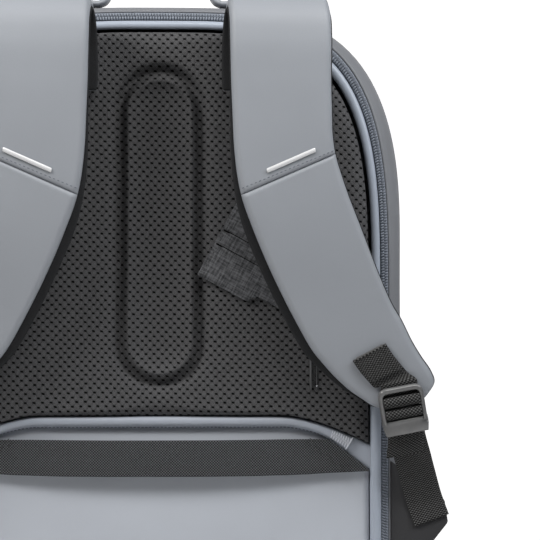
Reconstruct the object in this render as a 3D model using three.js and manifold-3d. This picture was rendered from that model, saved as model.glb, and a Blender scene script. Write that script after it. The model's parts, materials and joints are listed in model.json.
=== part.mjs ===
// Backpack with a zip hidden against the wearer's back: a hollow shell, a mesh back panel with an
// air channel, a zip and piping all round it, padded shoulder straps with ladder buckles, a strap
// that slips over a suitcase handle, and a carry handle.
// Millimetres, +Z up. The back panel faces -Y and the flat base lies on Z = 0, centred on the origin.
import * as THREE from 'three';
import { mergeVertices } from 'three/addons/utils/BufferGeometryUtils.js';
import Module from 'manifold-3d';

// Clearance that neighbouring pieces keep.
const gap = 0.3;

// Shell: padded cloth, open toward the back panel.
const bagWidth = 334;
const bagHeight = 465;
const bagDepth = 150;
const shellWall = 5; // cloth, foam and lining together
const baseCorner = 42;
const shoulderLine = 255; // height where the sides begin to close into the arched top
const archPower = 3.55; // squareness of the arched top: 2 is an ellipse

// Piping line, where back panel and zip meet, set in from the shell's full outline.
const pipingInset = 19.8;
const pipingDrop = 15;
const pipingLift = 16;
const pipingRadius = 3.2;
const zipWidth = 5;
const zipThickness = 1.4;
const foldWidth = 1.8; // folded edge of the shell that shows outside the zip

// Mesh back panel and the air channel pressed into it.
const panelThickness = 11;
const panelEdgeRoll = 7;
const panelGroove = 1.6;
const channelHalf = 28;
const channelTop = 419;
const channelFoot = 206;
const channelRelief = 5;

// Bound seam that arches over the lower cloth panel.
const bindingTop = 184;
const bindingHeight = 7.4;
const bindingFlare = 9.4; // extra height of the binding at its two ends
const bindingFall = 22; // how far its ends lie lower than its middle
const bindingFlat = 84; // half width of its level stretch
const bindingProud = 5;

// Lower panel and the strap over it.
const lowerBulge = 3;
const luggageDrop = 16; // from the binding's level top down to the strap's upper edge
const luggageWidth = 24.5;
const luggageHigh = bindingTop - luggageDrop;
const luggageLow = luggageHigh - luggageWidth;
const luggageThickness = 1.6;
const luggageBow = 6.5;

// Pocket for cards on the mesh, and the upright zip of a hidden pocket.
const cardPocketWide = 55.8;
const cardPocketLong = 84;
const cardPocketTilt = 28.6; // degrees below the horizontal
const cardLayer = 0.9;
const cardPocketX = 52;
const cardPocketZ = 329;
const cardNotchRise = 0.113; // share of its width by which the pocket's lower edge steps up
const pocketZipX = 104;
const pocketZipDrop = 13.34; // from the card pocket's lowest corner down to the zip
const pocketZipLength = 30;
const pocketZipWidth = 5.2;
const pocketZipProud = 1.7;

// Shoulder strap: a padded cover over a thinner lining.
const strapWidth = 67;
const strapStandoff = 39; // from the mesh to the back of the cover, at the shoulder
const coverThickness = 7;
const coverEdgeRound = 3.2;
const coverCrown = 0.6;
const liningThickness = 3.4;
const liningShow = 5; // lining that shows past the cover's inner edge
const liningEdge = 0.9;

// Reflective tab above the strap's cross seam.
const tabLength = 35;
const tabHeight = 3.1;
const tabThickness = 0.8;
const tabRise = 8; // from the cross seam to the middle of the tab, along the strap
const tabShift = 3.4; // from the middle of the strap toward its outer edge

// Webbing and the ladder buckle.
const webWidth = 25;
const webThickness = 1.5;
const buckleRail = 2.8;
const buckleDepth = 4.2;
const buckleTopBar = 3.8;
const barRadius = 1.6;
const firstBar = 8.2; // from the top bar, down the buckle
const secondBar = 16.6;
const lipStart = 21.8;
const lipLength = 10.4;
const lipThickness = 2.4;
const lipLean = 16; // degrees that the lip lifts off the webbing
const buckleSlope = 10.6; // degrees that the buckle's bars rise to the outer side
const buckleTilt = 13; // degrees that its lower end leans toward the bag
const freeEnd = 46.5; // lowest point of the loose webbing, down the buckle
const freeHang = 4; // how far the loose end swings in toward the plumb line
const webEase = 0.1; // further room that webbing keeps where it bends round a bar
const webSewn = 15; // stretch of the adjuster webbing that lies on the wing
const webSag = 1.5; // how far its slack stretch hangs out of line
const webDrift = 0.4; // how far its layers part from the buckle's back

// Cloth wing at the side seam that holds the webbing.
const wingTop = 153;
const wingFoot = 62;
const wingReach = 39;
const wingThickness = 2;

// Carry handle.
const handleSpan = 84;
const handleRise = 30;
const handleWidth = 22;
const handleThickness = 4;
const handleFoot = 16;
const handleInset = 25; // from the shell's open edge to the middle of the handle

// Slider of the main zip.
const sliderHeight = 196;
const sliderWidth = 6.4;
const sliderLength = 12;
const sliderThickness = 3.2;
const pullLength = 20;

// Places worked out from the sizes above.
const halfWidth = bagWidth / 2;
const shellBack = -bagDepth / 2;
const pipingHalf = halfWidth - pipingInset;
const zipInner = pipingRadius + gap;
const zipOuter = zipInner + zipWidth;
const rimReach = zipOuter + foldWidth;
const panelBack = shellBack;
const panelFront = panelBack - panelThickness;
const panelEdge = -(pipingRadius + gap + panelGroove);
const panelHalf = pipingHalf + panelEdge;
const zipBack = shellBack - gap;
const zipFront = zipBack - zipThickness;
const pipingY = zipBack - pipingRadius;
const cardPocketStep = cardPocketWide * (1 - cardNotchRise);
const cardPocketLean = THREE.MathUtils.degToRad(cardPocketTilt);
const cardPocketFoot = cardPocketZ - cardPocketLong * Math.sin(cardPocketLean)
  - cardPocketStep * Math.cos(cardPocketLean);
const pocketZipFoot = cardPocketFoot - pocketZipDrop - pocketZipLength;

const colours = {
  coatedCloth: new THREE.MeshStandardMaterial({ color: 0x878c94, roughness: 0.62, metalness: 0 }),
  shellCloth: new THREE.MeshStandardMaterial({ color: 0x7f8286, roughness: 0.66, metalness: 0 }),
  piping: new THREE.MeshStandardMaterial({ color: 0x8a93a3, roughness: 0.5, metalness: 0 }),
  zip: new THREE.MeshStandardMaterial({ color: 0x6f7683, roughness: 0.5, metalness: 0 }),
  mesh: new THREE.MeshStandardMaterial({ color: 0x2c2d2f, roughness: 0.85, metalness: 0 }),
  webbing: new THREE.MeshStandardMaterial({ color: 0x2a2b2d, roughness: 0.75, metalness: 0 }),
  lining: new THREE.MeshStandardMaterial({ color: 0x232426, roughness: 0.85, metalness: 0 }),
  melange: new THREE.MeshStandardMaterial({ color: 0x3a3b3e, roughness: 0.85, metalness: 0 }),
  reflective: new THREE.MeshStandardMaterial({ color: 0xc3c5c8, roughness: 0.35, metalness: 0.1 }),
  plastic: new THREE.MeshStandardMaterial({ color: 0x26272a, roughness: 0.4, metalness: 0 }),
};

const wasm = await Module();
wasm.setup();

const lerp = THREE.MathUtils.lerp;
const smooth = (value, from, to) => THREE.MathUtils.smoothstep(value, from, to);
const radians = THREE.MathUtils.degToRad;

// Body from points and triangles, turned the right way out by the sign of its volume.
function body(points, triangles) {
  let volume = 0;
  const cross = new THREE.Vector3();
  for (const [a, b, c] of triangles) {
    volume += points[a].dot(cross.crossVectors(points[b], points[c]));
  }
  const turned = volume < 0 ? triangles.map(([a, b, c]) => [a, c, b]) : triangles;
  const geometry = new THREE.BufferGeometry();
  geometry.setAttribute('position', new THREE.Float32BufferAttribute(points.flatMap((p) => p.toArray()), 3));
  geometry.setIndex(turned.flat());
  geometry.computeVertexNormals();
  return geometry;
}

// Skin over a row of rings with equal numbers of points. An open row is closed by a fan at each
// end, and a row that returns on itself has no ends.
function loft(rings, returns = false) {
  const count = rings[0].length;
  const points = rings.flat();
  const triangles = [];
  const spans = returns ? rings.length : rings.length - 1;
  for (let row = 0; row < spans; row += 1) {
    const here = row * count;
    const next = ((row + 1) % rings.length) * count;
    for (let i = 0; i < count; i += 1) {
      const j = (i + 1) % count;
      triangles.push([here + i, here + j, next + j], [here + i, next + j, next + i]);
    }
  }
  if (!returns) {
    for (const [ring, start, last] of [[rings[0], 0, false], [rings.at(-1), points.length - count, true]]) {
      const middle = ring.reduce((sum, p) => sum.add(p), new THREE.Vector3()).divideScalar(count);
      const hub = points.push(middle) - 1;
      for (let i = 0; i < count; i += 1) {
        const j = (i + 1) % count;
        triangles.push(last ? [start + i, start + j, hub] : [start + j, start + i, hub]);
      }
    }
  }
  return body(points, triangles);
}

// Flat plate cut to an outline in the XZ plane, between two depths.
function plate(outlinePoints, back, front) {
  const shape = new THREE.Shape(outlinePoints.map(([x, z]) => new THREE.Vector2(x, z)));
  const geometry = new THREE.ExtrudeGeometry(shape, { depth: back - front, bevelEnabled: false });
  return geometry.rotateX(Math.PI / 2).translate(0, back, 0);
}

function toManifold(geometry) {
  const bare = geometry.clone();
  bare.deleteAttribute('normal');
  bare.deleteAttribute('uv');
  const merged = mergeVertices(bare, 1e-4);
  return new wasm.Manifold(new wasm.Mesh({
    numProp: 3,
    vertProperties: new Float32Array(merged.attributes.position.array),
    triVerts: new Uint32Array(merged.index.array),
  }));
}

function fuse(geometries) {
  const solids = geometries.map(toManifold);
  const result = solids.slice(1).reduce((sum, solid) => sum.add(solid), solids[0]).getMesh();
  const geometry = new THREE.BufferGeometry();
  geometry.setAttribute('position', new THREE.Float32BufferAttribute(result.vertProperties, 3));
  geometry.setIndex([...result.triVerts]);
  geometry.computeVertexNormals();
  return geometry;
}

function piece(name, geometry, material) {
  const mesh = new THREE.Mesh(geometry, material.clone());
  mesh.name = name;
  return mesh;
}

// Closed outline in the XZ plane: a superellipse arch on straight sides, round lower corners and a
// flat base. All outlines have the same number of points, so that they can be lofted.
const archSteps = 32;
const cornerSteps = 5;
function outline({ half, top, base, corner, spring }) {
  const points = [];
  for (let i = 0; i <= archSteps; i += 1) {
    const angle = (Math.PI * i) / archSteps;
    const across = Math.abs(Math.cos(angle)) / half;
    const up = Math.abs(Math.sin(angle)) / (top - spring);
    const reach = (across ** archPower + up ** archPower) ** (-1 / archPower);
    points.push([reach * Math.cos(angle), spring + reach * Math.sin(angle)]);
  }
  for (const [side, start] of [[-1, Math.PI], [1, 1.5 * Math.PI]]) {
    for (let i = 0; i <= cornerSteps; i += 1) {
      const angle = start + (Math.PI / 2) * (i / cornerSteps);
      points.push([
        side * (half - corner) + corner * Math.cos(angle),
        base + corner + corner * Math.sin(angle),
      ]);
    }
  }
  return points;
}

// Outline at a distance outside (or inside, when negative) the piping line.
function rimLine(offset) {
  return {
    half: pipingHalf + offset,
    top: bagHeight - pipingDrop + offset,
    base: pipingLift - offset,
    corner: baseCorner + offset,
    spring: shoulderLine,
  };
}

function ringAt(sizes, y) {
  return outline(sizes).map(([x, z]) => new THREE.Vector3(x, y, z));
}

// Shell sections from the open edge to the front. depth: share of the bag's depth. swell: from the
// edge outline (0) to the full outline (1). drop: the same for its base. side and top: shares of that
// outline's half width and height. lift: height of its base as a share of the bag's height.
const shellSections = [
  { depth: 0.0, swell: 0.0, drop: 0.0, side: 1.0, top: 1.0, lift: 0.0 },
  { depth: 0.03, swell: 0.38, drop: 0.6, side: 1.0, top: 1.0, lift: 0.0 },
  { depth: 0.08, swell: 0.72, drop: 1.0, side: 1.0, top: 1.0, lift: 0.0 },
  { depth: 0.16, swell: 0.95, drop: 1.0, side: 1.0, top: 1.0, lift: 0.0 },
  { depth: 0.24, swell: 1.0, drop: 1.0, side: 1.0, top: 1.0, lift: 0.0 },
  { depth: 0.5, swell: 1.0, drop: 1.0, side: 0.997, top: 0.985, lift: 0.0 },
  { depth: 0.7, swell: 1.0, drop: 1.0, side: 0.985, top: 0.957, lift: 0.0 },
  { depth: 0.85, swell: 1.0, drop: 1.0, side: 0.955, top: 0.91, lift: 0.004 },
  { depth: 0.94, swell: 1.0, drop: 1.0, side: 0.895, top: 0.845, lift: 0.02 },
  { depth: 0.985, swell: 1.0, drop: 1.0, side: 0.8, top: 0.76, lift: 0.06 },
  { depth: 1.0, swell: 1.0, drop: 1.0, side: 0.62, top: 0.62, lift: 0.13 },
];

function shellGeometry() {
  const edge = rimLine(rimReach);
  const full = { half: halfWidth, top: bagHeight, base: 0, corner: baseCorner, spring: shoulderLine };
  const section = (row, inset, depth) => {
    const blend = (key, share = row.swell) => lerp(edge[key], full[key], share);
    return ringAt({
      half: blend('half') * row.side - inset,
      top: blend('top') * row.top - inset,
      base: blend('base', row.drop) + row.lift * bagHeight + inset,
      corner: blend('corner') * row.side - inset,
      spring: blend('spring') * row.top,
    }, shellBack + row.depth * depth);
  };
  const inside = shellSections.map((row) => section(row, shellWall, bagDepth - shellWall));
  const outside = shellSections.map((row) => section(row, 0, bagDepth));
  return loft([...inside.reverse(), ...outside]);
}

// Band that follows the piping line, with its section given as offsets and depths.
function rimBand(section) {
  return loft(section.map(([offset, y]) => ringAt(rimLine(offset), y)), true);
}

function pipingGeometry() {
  const sides = 6;
  const section = [];
  for (let i = 0; i < sides; i += 1) {
    const angle = (2 * Math.PI * i) / sides;
    section.push([pipingRadius * Math.cos(angle), pipingY + pipingRadius * Math.sin(angle)]);
  }
  return rimBand(section);
}

// Height of the binding's upper and lower edges over the width of the panel.
function bindingHigh(x) {
  const past = Math.max(0, Math.abs(x) - bindingFlat) / (pipingHalf - bindingFlat);
  return bindingTop - bindingFall * past ** 1.6;
}
function bindingLow(x) {
  const flareStart = lerp(bindingFlat, pipingHalf, 0.32);
  return bindingHigh(x) - bindingHeight - bindingFlare * smooth(Math.abs(x), flareStart, pipingHalf);
}

// Rings of the mesh panel, from the middle of the air channel outward. reach: distance from the
// channel's spine as a share of its half width. rise: height over the panel as a share of its relief.
const channelRings = [
  { reach: 0.2, rise: -0.85 },
  { reach: 0.42, rise: -0.65 },
  { reach: 0.56, rise: -0.1 },
  { reach: 0.68, rise: 0.3 },
  { reach: 0.78, rise: 0.25 },
  { reach: 0.88, rise: -0.4 },
  { reach: 1.0, rise: -1.0 },
  { reach: 1.12, rise: -0.45 },
  { reach: 1.26, rise: 0.0 },
];
// Rings from the channel to the panel's edge. toward: share of the way. rise: share of the edge roll.
const edgeRings = [
  { toward: 0.4, rise: 0.0 },
  { toward: 0.78, rise: 0.0 },
  { toward: 0.91, rise: -0.2 },
  { toward: 0.97, rise: -0.55 },
  { toward: 1.0, rise: -1.0 },
];
const sideSteps = 5;
const footSteps = 20;
// Places across the arched seam that the panels and the binding share.
const seamStations = Array.from({ length: footSteps + 1 }, (_, i) => (
  -panelHalf * Math.cos((Math.PI * i) / footSteps)
));

function channelRing(reach) {
  const highCentre = channelTop - channelHalf;
  const lowCentre = channelFoot + channelHalf;
  const points = [];
  for (let i = 0; i <= archSteps; i += 1) {
    const angle = (Math.PI * i) / archSteps;
    points.push([reach * Math.cos(angle), highCentre + reach * Math.sin(angle)]);
  }
  for (let i = 1; i < sideSteps; i += 1) {
    points.push([-reach, lerp(highCentre, lowCentre, i / sideSteps)]);
  }
  for (let i = 0; i <= footSteps; i += 1) {
    const angle = Math.PI * (1 + i / footSteps);
    points.push([reach * Math.cos(angle), lowCentre + reach * Math.sin(angle)]);
  }
  for (let i = 1; i < sideSteps; i += 1) {
    points.push([reach, lerp(lowCentre, highCentre, i / sideSteps)]);
  }
  return points;
}

function panelRing() {
  const edge = rimLine(panelEdge);
  const footAt = (x) => bindingHigh(x) + gap;
  const points = outline(edge).slice(0, archSteps + 1);
  for (let i = 1; i < sideSteps; i += 1) {
    points.push([-panelHalf, lerp(edge.spring, footAt(panelHalf), i / sideSteps)]);
  }
  for (const x of seamStations) {
    points.push([x, footAt(x)]);
  }
  for (let i = 1; i < sideSteps; i += 1) {
    points.push([panelHalf, lerp(footAt(panelHalf), edge.spring, i / sideSteps)]);
  }
  return points;
}

function meshPanelGeometry() {
  const edge = panelRing();
  const outer = channelRing(channelRings.at(-1).reach * channelHalf);
  const rings = channelRings.map(({ reach, rise }) => channelRing(reach * channelHalf)
    .map(([x, z]) => new THREE.Vector3(x, panelFront - rise * channelRelief, z)));
  for (const { toward, rise } of edgeRings) {
    rings.push(edge.map(([x, z], i) => new THREE.Vector3(
      lerp(outer[i][0], x, toward), panelFront - rise * panelEdgeRoll, lerp(outer[i][1], z, toward),
    )));
  }
  rings.push(edge.map(([x, z]) => new THREE.Vector3(x, panelBack, z)));
  return loft(rings);
}

// Rings of the lower panel. share: size about its middle. rise: share of its bulge.
const lowerRings = [
  { share: 0.45, rise: 1.0 },
  { share: 0.8, rise: 0.75 },
  { share: 0.95, rise: 0.35 },
  { share: 1.0, rise: 0.0 },
];

function lowerPanelGeometry() {
  const edge = outline(rimLine(panelEdge)).slice(archSteps + 1);
  for (const x of [...seamStations].reverse()) {
    edge.push([x, bindingLow(x) - gap]);
  }
  const middle = (pipingLift + bindingTop) / 2;
  const edgeFront = panelFront + panelEdgeRoll;
  const rings = lowerRings.map(({ share, rise }) => edge.map(([x, z]) => new THREE.Vector3(
    x * share, edgeFront - rise * lowerBulge, lerp(middle, z, share),
  )));
  rings.push(edge.map(([x, z]) => new THREE.Vector3(x, panelBack, z)));
  return loft(rings);
}

// Section of the binding. high: share of its height. proud: share of how far it stands out.
const bindingSection = [
  { high: 0.0, proud: 0.2 },
  { high: 0.18, proud: 0.8 },
  { high: 0.5, proud: 1.0 },
  { high: 0.82, proud: 0.8 },
  { high: 1.0, proud: 0.2 },
];

function bindingGeometry() {
  const reach = pipingHalf - pipingRadius - gap;
  const edgeFront = panelFront + panelEdgeRoll;
  return loft([-reach, ...seamStations, reach].map((x) => {
    const [low, high] = [bindingLow(x), bindingHigh(x)];
    const front = bindingSection.map((point) => new THREE.Vector3(
      x, edgeFront - point.proud * bindingProud, lerp(low, high, point.high),
    ));
    return [new THREE.Vector3(x, panelBack, low), ...front, new THREE.Vector3(x, panelBack, high)];
  }));
}

// Strap over a suitcase handle, tucked under the binding near both ends. across: share of its half
// length. high and low: shares of its width at its two edges. bow: share of how far its middle
// stands off the panel.
const luggageSections = [
  { across: 0.0, high: 1.0, low: 0.0, bow: 1.0 },
  { across: 0.25, high: 1.0, low: 0.0, bow: 0.95 },
  { across: 0.45, high: 1.01, low: 0.01, bow: 0.8 },
  { across: 0.6, high: 1.02, low: 0.03, bow: 0.58 },
  { across: 0.71, high: 1.02, low: 0.05, bow: 0.38 },
  { across: 0.8, high: 1.02, low: 0.08, bow: 0.22 },
  { across: 0.88, high: 1.02, low: 0.1, bow: 0.1 },
  { across: 0.94, high: 1.02, low: 0.11, bow: 0.04 },
  { across: 1.0, high: 1.02, low: 0.12, bow: 0.0 },
];

function luggageStrapGeometry() {
  const reach = panelHalf - gap;
  const inner = panelFront + panelEdgeRoll - lowerBulge - gap;
  const mirrored = luggageSections.slice(1).reverse().map((row) => ({ ...row, across: -row.across }));
  return loft([...mirrored, ...luggageSections].map(({ across, high, low, bow }) => {
    const x = across * reach;
    const back = inner - bow * luggageBow;
    const top = Math.min(lerp(luggageLow, luggageHigh, high), bindingLow(x) - gap);
    const foot = lerp(luggageLow, luggageHigh, low);
    return [
      new THREE.Vector3(x, back, foot),
      new THREE.Vector3(x, back - luggageThickness, foot),
      new THREE.Vector3(x, back - luggageThickness, top),
      new THREE.Vector3(x, back, top),
    ];
  }));
}

// Card pocket: three layers stepped like card slots. from: share of the pocket's width where a
// layer begins. notch: shares of the length where the pocket's lower edge steps up.
const cardLayers = [{ from: 0.0 }, { from: 0.37 }, { from: 0.56 }];
const cardNotch = { from: 0.45, to: 0.51 };

function cardPocketGeometry() {
  const layers = cardLayers.map(({ from }, i) => plate([
    [0, -cardPocketWide * from],
    [0, -cardPocketWide],
    [cardPocketLong * cardNotch.from, -cardPocketWide],
    [cardPocketLong * cardNotch.to, -cardPocketStep],
    [cardPocketLong, -cardPocketStep],
    [cardPocketLong, -cardPocketWide * from],
  ], 0, -cardLayer * (i + 1)));
  return fuse(layers);
}

// Strip with round ends, for the pocket zip.
function pocketZipGeometry() {
  const half = pocketZipWidth / 2;
  const shape = new THREE.Shape();
  shape.absarc(0, pocketZipLength - half, half, 0, Math.PI);
  shape.absarc(0, half, half, Math.PI, 2 * Math.PI);
  const geometry = new THREE.ExtrudeGeometry(shape, {
    depth: pocketZipProud, bevelEnabled: false, curveSegments: 6,
  });
  return geometry.rotateX(Math.PI / 2);
}

// Slider body with its pull hanging below, as one plain piece.
function sliderGeometry() {
  const shape = new THREE.Shape([
    new THREE.Vector2(-sliderWidth / 2, 0),
    new THREE.Vector2(-sliderWidth / 4, -pullLength),
    new THREE.Vector2(sliderWidth / 4, -pullLength),
    new THREE.Vector2(sliderWidth / 2, 0),
    new THREE.Vector2(sliderWidth / 2, sliderLength * 0.75),
    new THREE.Vector2(sliderWidth / 4, sliderLength),
    new THREE.Vector2(-sliderWidth / 4, sliderLength),
    new THREE.Vector2(-sliderWidth / 2, sliderLength * 0.75),
  ]);
  return new THREE.ExtrudeGeometry(shape, { depth: sliderThickness, bevelEnabled: false }).rotateX(Math.PI / 2);
}

// Band along a row of stations, each with its place and the direction of its width. The width may
// change from station to station.
function band(stations, thickness) {
  const rings = stations.map(({ at, side, width }, i) => {
    const before = stations[Math.max(0, i - 1)].at;
    const after = stations[Math.min(stations.length - 1, i + 1)].at;
    const along = new THREE.Vector3().subVectors(after, before).normalize();
    const face = new THREE.Vector3().crossVectors(along, side).normalize();
    const corner = (u, h) => at.clone().addScaledVector(side, u * width / 2)
      .addScaledVector(face, h * thickness / 2);
    return [corner(-1, -1), corner(1, -1), corner(1, 1), corner(-1, 1)];
  });
  return loft(rings);
}

// Carry handle: two flat feet and an arch between them. across: share of the half span.
// rise: share of the handle's height.
const handleRows = [
  { across: 1.0, rise: 0.0 },
  { across: 0.93, rise: 0.06 },
  { across: 0.86, rise: 0.28 },
  { across: 0.74, rise: 0.6 },
  { across: 0.56, rise: 0.86 },
  { across: 0.3, rise: 0.98 },
  { across: 0.0, rise: 1.0 },
];

function handleGeometry() {
  const half = handleSpan / 2;
  const low = bagHeight + gap + handleThickness / 2;
  const rows = [{ across: 1 + handleFoot / half, rise: 0 }, ...handleRows];
  const mirrored = rows.slice(0, -1).reverse().map((row) => ({ ...row, across: -row.across }));
  const side = new THREE.Vector3(0, 1, 0);
  return band([...rows, ...mirrored].map(({ across, rise }) => ({
    at: new THREE.Vector3(across * half, 0, low + rise * handleRise), side, width: handleWidth,
  })), handleThickness);
}

// Centre line of the right shoulder strap, from its root on the panel over the shoulder curl to its
// tip. across and up: shares of the bag's half width and height. out: share of the standoff.
// wide: share of the strap's width. slope: degrees that its cross line rises to the outer side.
// pad: share of the padding. show: share of the lining that shows past the inner edge.
const strapRows = [
  { across: 0.425, up: 0.869, out: 0.0, wide: 0.84, slope: 0, pad: 0.8, show: 0 },
  { across: 0.431, up: 0.904, out: 0.0, wide: 0.88, slope: 0, pad: 0.85, show: 0 },
  { across: 0.443, up: 0.943, out: 0.07, wide: 0.93, slope: 0, pad: 0.9, show: 0 },
  { across: 0.458, up: 0.977, out: 0.33, wide: 0.97, slope: 0, pad: 0.95, show: 0 },
  { across: 0.47, up: 0.987, out: 0.64, wide: 0.99, slope: 0, pad: 1, show: 0 },
  { across: 0.478, up: 0.971, out: 0.9, wide: 1.0, slope: 0, pad: 1, show: 0 },
  { across: 0.481, up: 0.938, out: 1.0, wide: 1.0, slope: 0.5, pad: 1, show: 0 },
  { across: 0.482, up: 0.886, out: 0.99, wide: 0.99, slope: 1, pad: 1, show: 0 },
  { across: 0.487, up: 0.834, out: 0.955, wide: 0.985, slope: 4, pad: 1, show: 0.1 },
  { across: 0.493, up: 0.787, out: 0.92, wide: 0.99, slope: 12, pad: 1, show: 0.3 },
  { across: 0.511, up: 0.745, out: 0.88, wide: 1.018, slope: 23.6, pad: 1, show: 0.6 },
  { across: 0.557, up: 0.695, out: 0.82, wide: 1.006, slope: 23.5, pad: 1, show: 1 },
  { across: 0.622, up: 0.638, out: 0.71, wide: 0.994, slope: 24.5, pad: 1, show: 1 },
  { across: 0.699, up: 0.576, out: 0.57, wide: 0.955, slope: 26, pad: 1, show: 1 },
  { across: 0.77, up: 0.526, out: 0.465, wide: 0.92, slope: 29.5, pad: 0.97, show: 0.9 },
  { across: 0.811, up: 0.505, out: 0.43, wide: 0.894, slope: 29.6, pad: 0.92, show: 0.7 },
  { across: 0.859, up: 0.479, out: 0.38, wide: 0.84, slope: 25.8, pad: 0.85, show: 0.5 },
  { across: 0.905, up: 0.459, out: 0.34, wide: 0.793, slope: 24, pad: 0.75, show: 0.3 },
  { across: 0.95, up: 0.4426, out: 0.31, wide: 0.742, slope: 21.7, pad: 0.65, show: 0.1 },
  { across: 0.9785, up: 0.4286, out: 0.29, wide: 0.657, slope: 19.5, pad: 0.55, show: 0 },
  { across: 0.981, up: 0.4157, out: 0.275, wide: 0.445, slope: 15, pad: 0.45, show: 0 },
];
const seamRow = 10; // row of the cross seam between upper and lower cover
const tipRow = strapRows.length - 1;
const rootOut = gap + strapRows[1].pad * (coverThickness + coverCrown) + gap / 2;
const strapLine = new THREE.CatmullRomCurve3(strapRows.map(({ across, up, out }) => new THREE.Vector3(
  across * halfWidth, panelFront - lerp(rootOut, strapStandoff, out), up * bagHeight,
)));

function strapValue(row, key) {
  const low = Math.min(tipRow - 1, Math.max(0, Math.floor(row)));
  return lerp(strapRows[low][key], strapRows[low + 1][key], row - low);
}

// Frame of the strap at a row, which may lie between two rows of the table.
function strapFrame(row) {
  const at = strapLine.getPoint(THREE.MathUtils.clamp(row / tipRow, 0, 1));
  const step = 0.2 / tipRow;
  const before = strapLine.getPoint(Math.max(0, row / tipRow - step));
  const after = strapLine.getPoint(Math.min(1, row / tipRow + step));
  const along = after.sub(before).normalize();
  const slope = radians(strapValue(row, 'slope'));
  const side = new THREE.Vector3(Math.cos(slope), 0, Math.sin(slope));
  const face = new THREE.Vector3().crossVectors(along, side).normalize();
  return { at, along, side, face, width: strapWidth * strapValue(row, 'wide'), pad: strapValue(row, 'pad') };
}

function strapPoint(frame, u, h, forward = 0) {
  return frame.at.clone().addScaledVector(frame.side, u).addScaledVector(frame.face, h)
    .addScaledVector(frame.along, forward);
}

// Upper half of the cover's section, from its edge inward. inset: share of the edge rounding.
// rise: share of the padding.
const coverEdge = [
  { inset: 0.0, rise: 0.0 },
  { inset: 0.0, rise: 0.5 },
  { inset: 0.35, rise: 0.87 },
  { inset: 1.0, rise: 1.0 },
];

function coverRing(row, forward = 0) {
  const frame = strapFrame(row);
  const half = frame.width / 2;
  const height = coverThickness * frame.pad;
  const left = coverEdge.map(({ inset, rise }) => [-half + inset * coverEdgeRound, gap / 2 + rise * height]);
  const crown = [[0, gap / 2 + height + coverCrown * frame.pad]];
  const right = left.map(([u, h]) => [-u, h]).reverse();
  return [...left, ...crown, ...right].map(([u, h]) => strapPoint(frame, u, h, forward));
}

function coverGeometry(from, to) {
  const steps = 2 * (to - from);
  const rings = [];
  for (let i = 0; i <= steps; i += 1) {
    const row = lerp(from, to, i / steps);
    const forward = row === seamRow ? (from === seamRow ? gap / 2 : -gap / 2) : 0;
    rings.push(coverRing(row, forward));
  }
  return loft(rings);
}

function liningGeometry() {
  const rings = [];
  for (let i = 0; i <= 2 * tipRow; i += 1) {
    const frame = strapFrame(i / 2);
    const half = frame.width / 2;
    const inner = -half - liningEdge - liningShow * strapValue(i / 2, 'show');
    const outer = half + liningEdge;
    const back = -gap / 2 - liningThickness;
    rings.push([
      [inner, -gap / 2], [inner, lerp(-gap / 2, back, 0.6)], [inner + liningThickness, back],
      [outer - liningThickness, back], [outer, lerp(-gap / 2, back, 0.6)], [outer, -gap / 2],
    ].map(([u, h]) => strapPoint(frame, u, h)));
  }
  return loft(rings);
}

// Reflective tab, bent over the cover above the cross seam.
function reflectiveTabGeometry() {
  const seam = strapFrame(seamRow);
  const rowAbove = strapFrame(seamRow - 1);
  const spacing = seam.at.distanceTo(rowAbove.at);
  const frame = strapFrame(seamRow - tabRise / spacing);
  const steps = 6;
  const stations = [];
  for (let i = 0; i <= steps; i += 1) {
    const u = tabShift + tabLength * (i / steps - 0.5);
    const crown = coverCrown * (1 - Math.abs(u) / (seam.width / 2 - coverEdgeRound));
    const height = gap / 2 + coverThickness + crown + gap + tabThickness / 2;
    stations.push(frame.at.clone().addScaledVector(seam.side, u).addScaledVector(frame.face, height));
  }
  return band(stations.map((at) => ({ at, side: frame.along, width: tabHeight })), tabThickness);
}

// Frame of the ladder buckle: across its bars, down its length and out of its face.
const buckleRow = 18.25;
const slack = 2 * (webThickness + gap) + gap;
function buckleFrame() {
  const strap = strapFrame(buckleRow);
  const height = gap / 2 + (coverThickness + coverCrown) * strap.pad + slack + buckleDepth / 2;
  const slope = radians(buckleSlope);
  const tilt = radians(buckleTilt);
  const across = new THREE.Vector3(Math.cos(slope), 0, Math.sin(slope));
  const down = new THREE.Vector3(
    Math.sin(slope) * Math.cos(tilt), Math.sin(tilt), -Math.cos(slope) * Math.cos(tilt),
  );
  const out = new THREE.Vector3().crossVectors(down, across);
  return { at: strapPoint(strap, 0, height), across, down, out };
}
const buckle = buckleFrame();
const bucklePoint = (down, out) => buckle.at.clone()
  .addScaledVector(buckle.down, down).addScaledVector(buckle.out, out);

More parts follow.
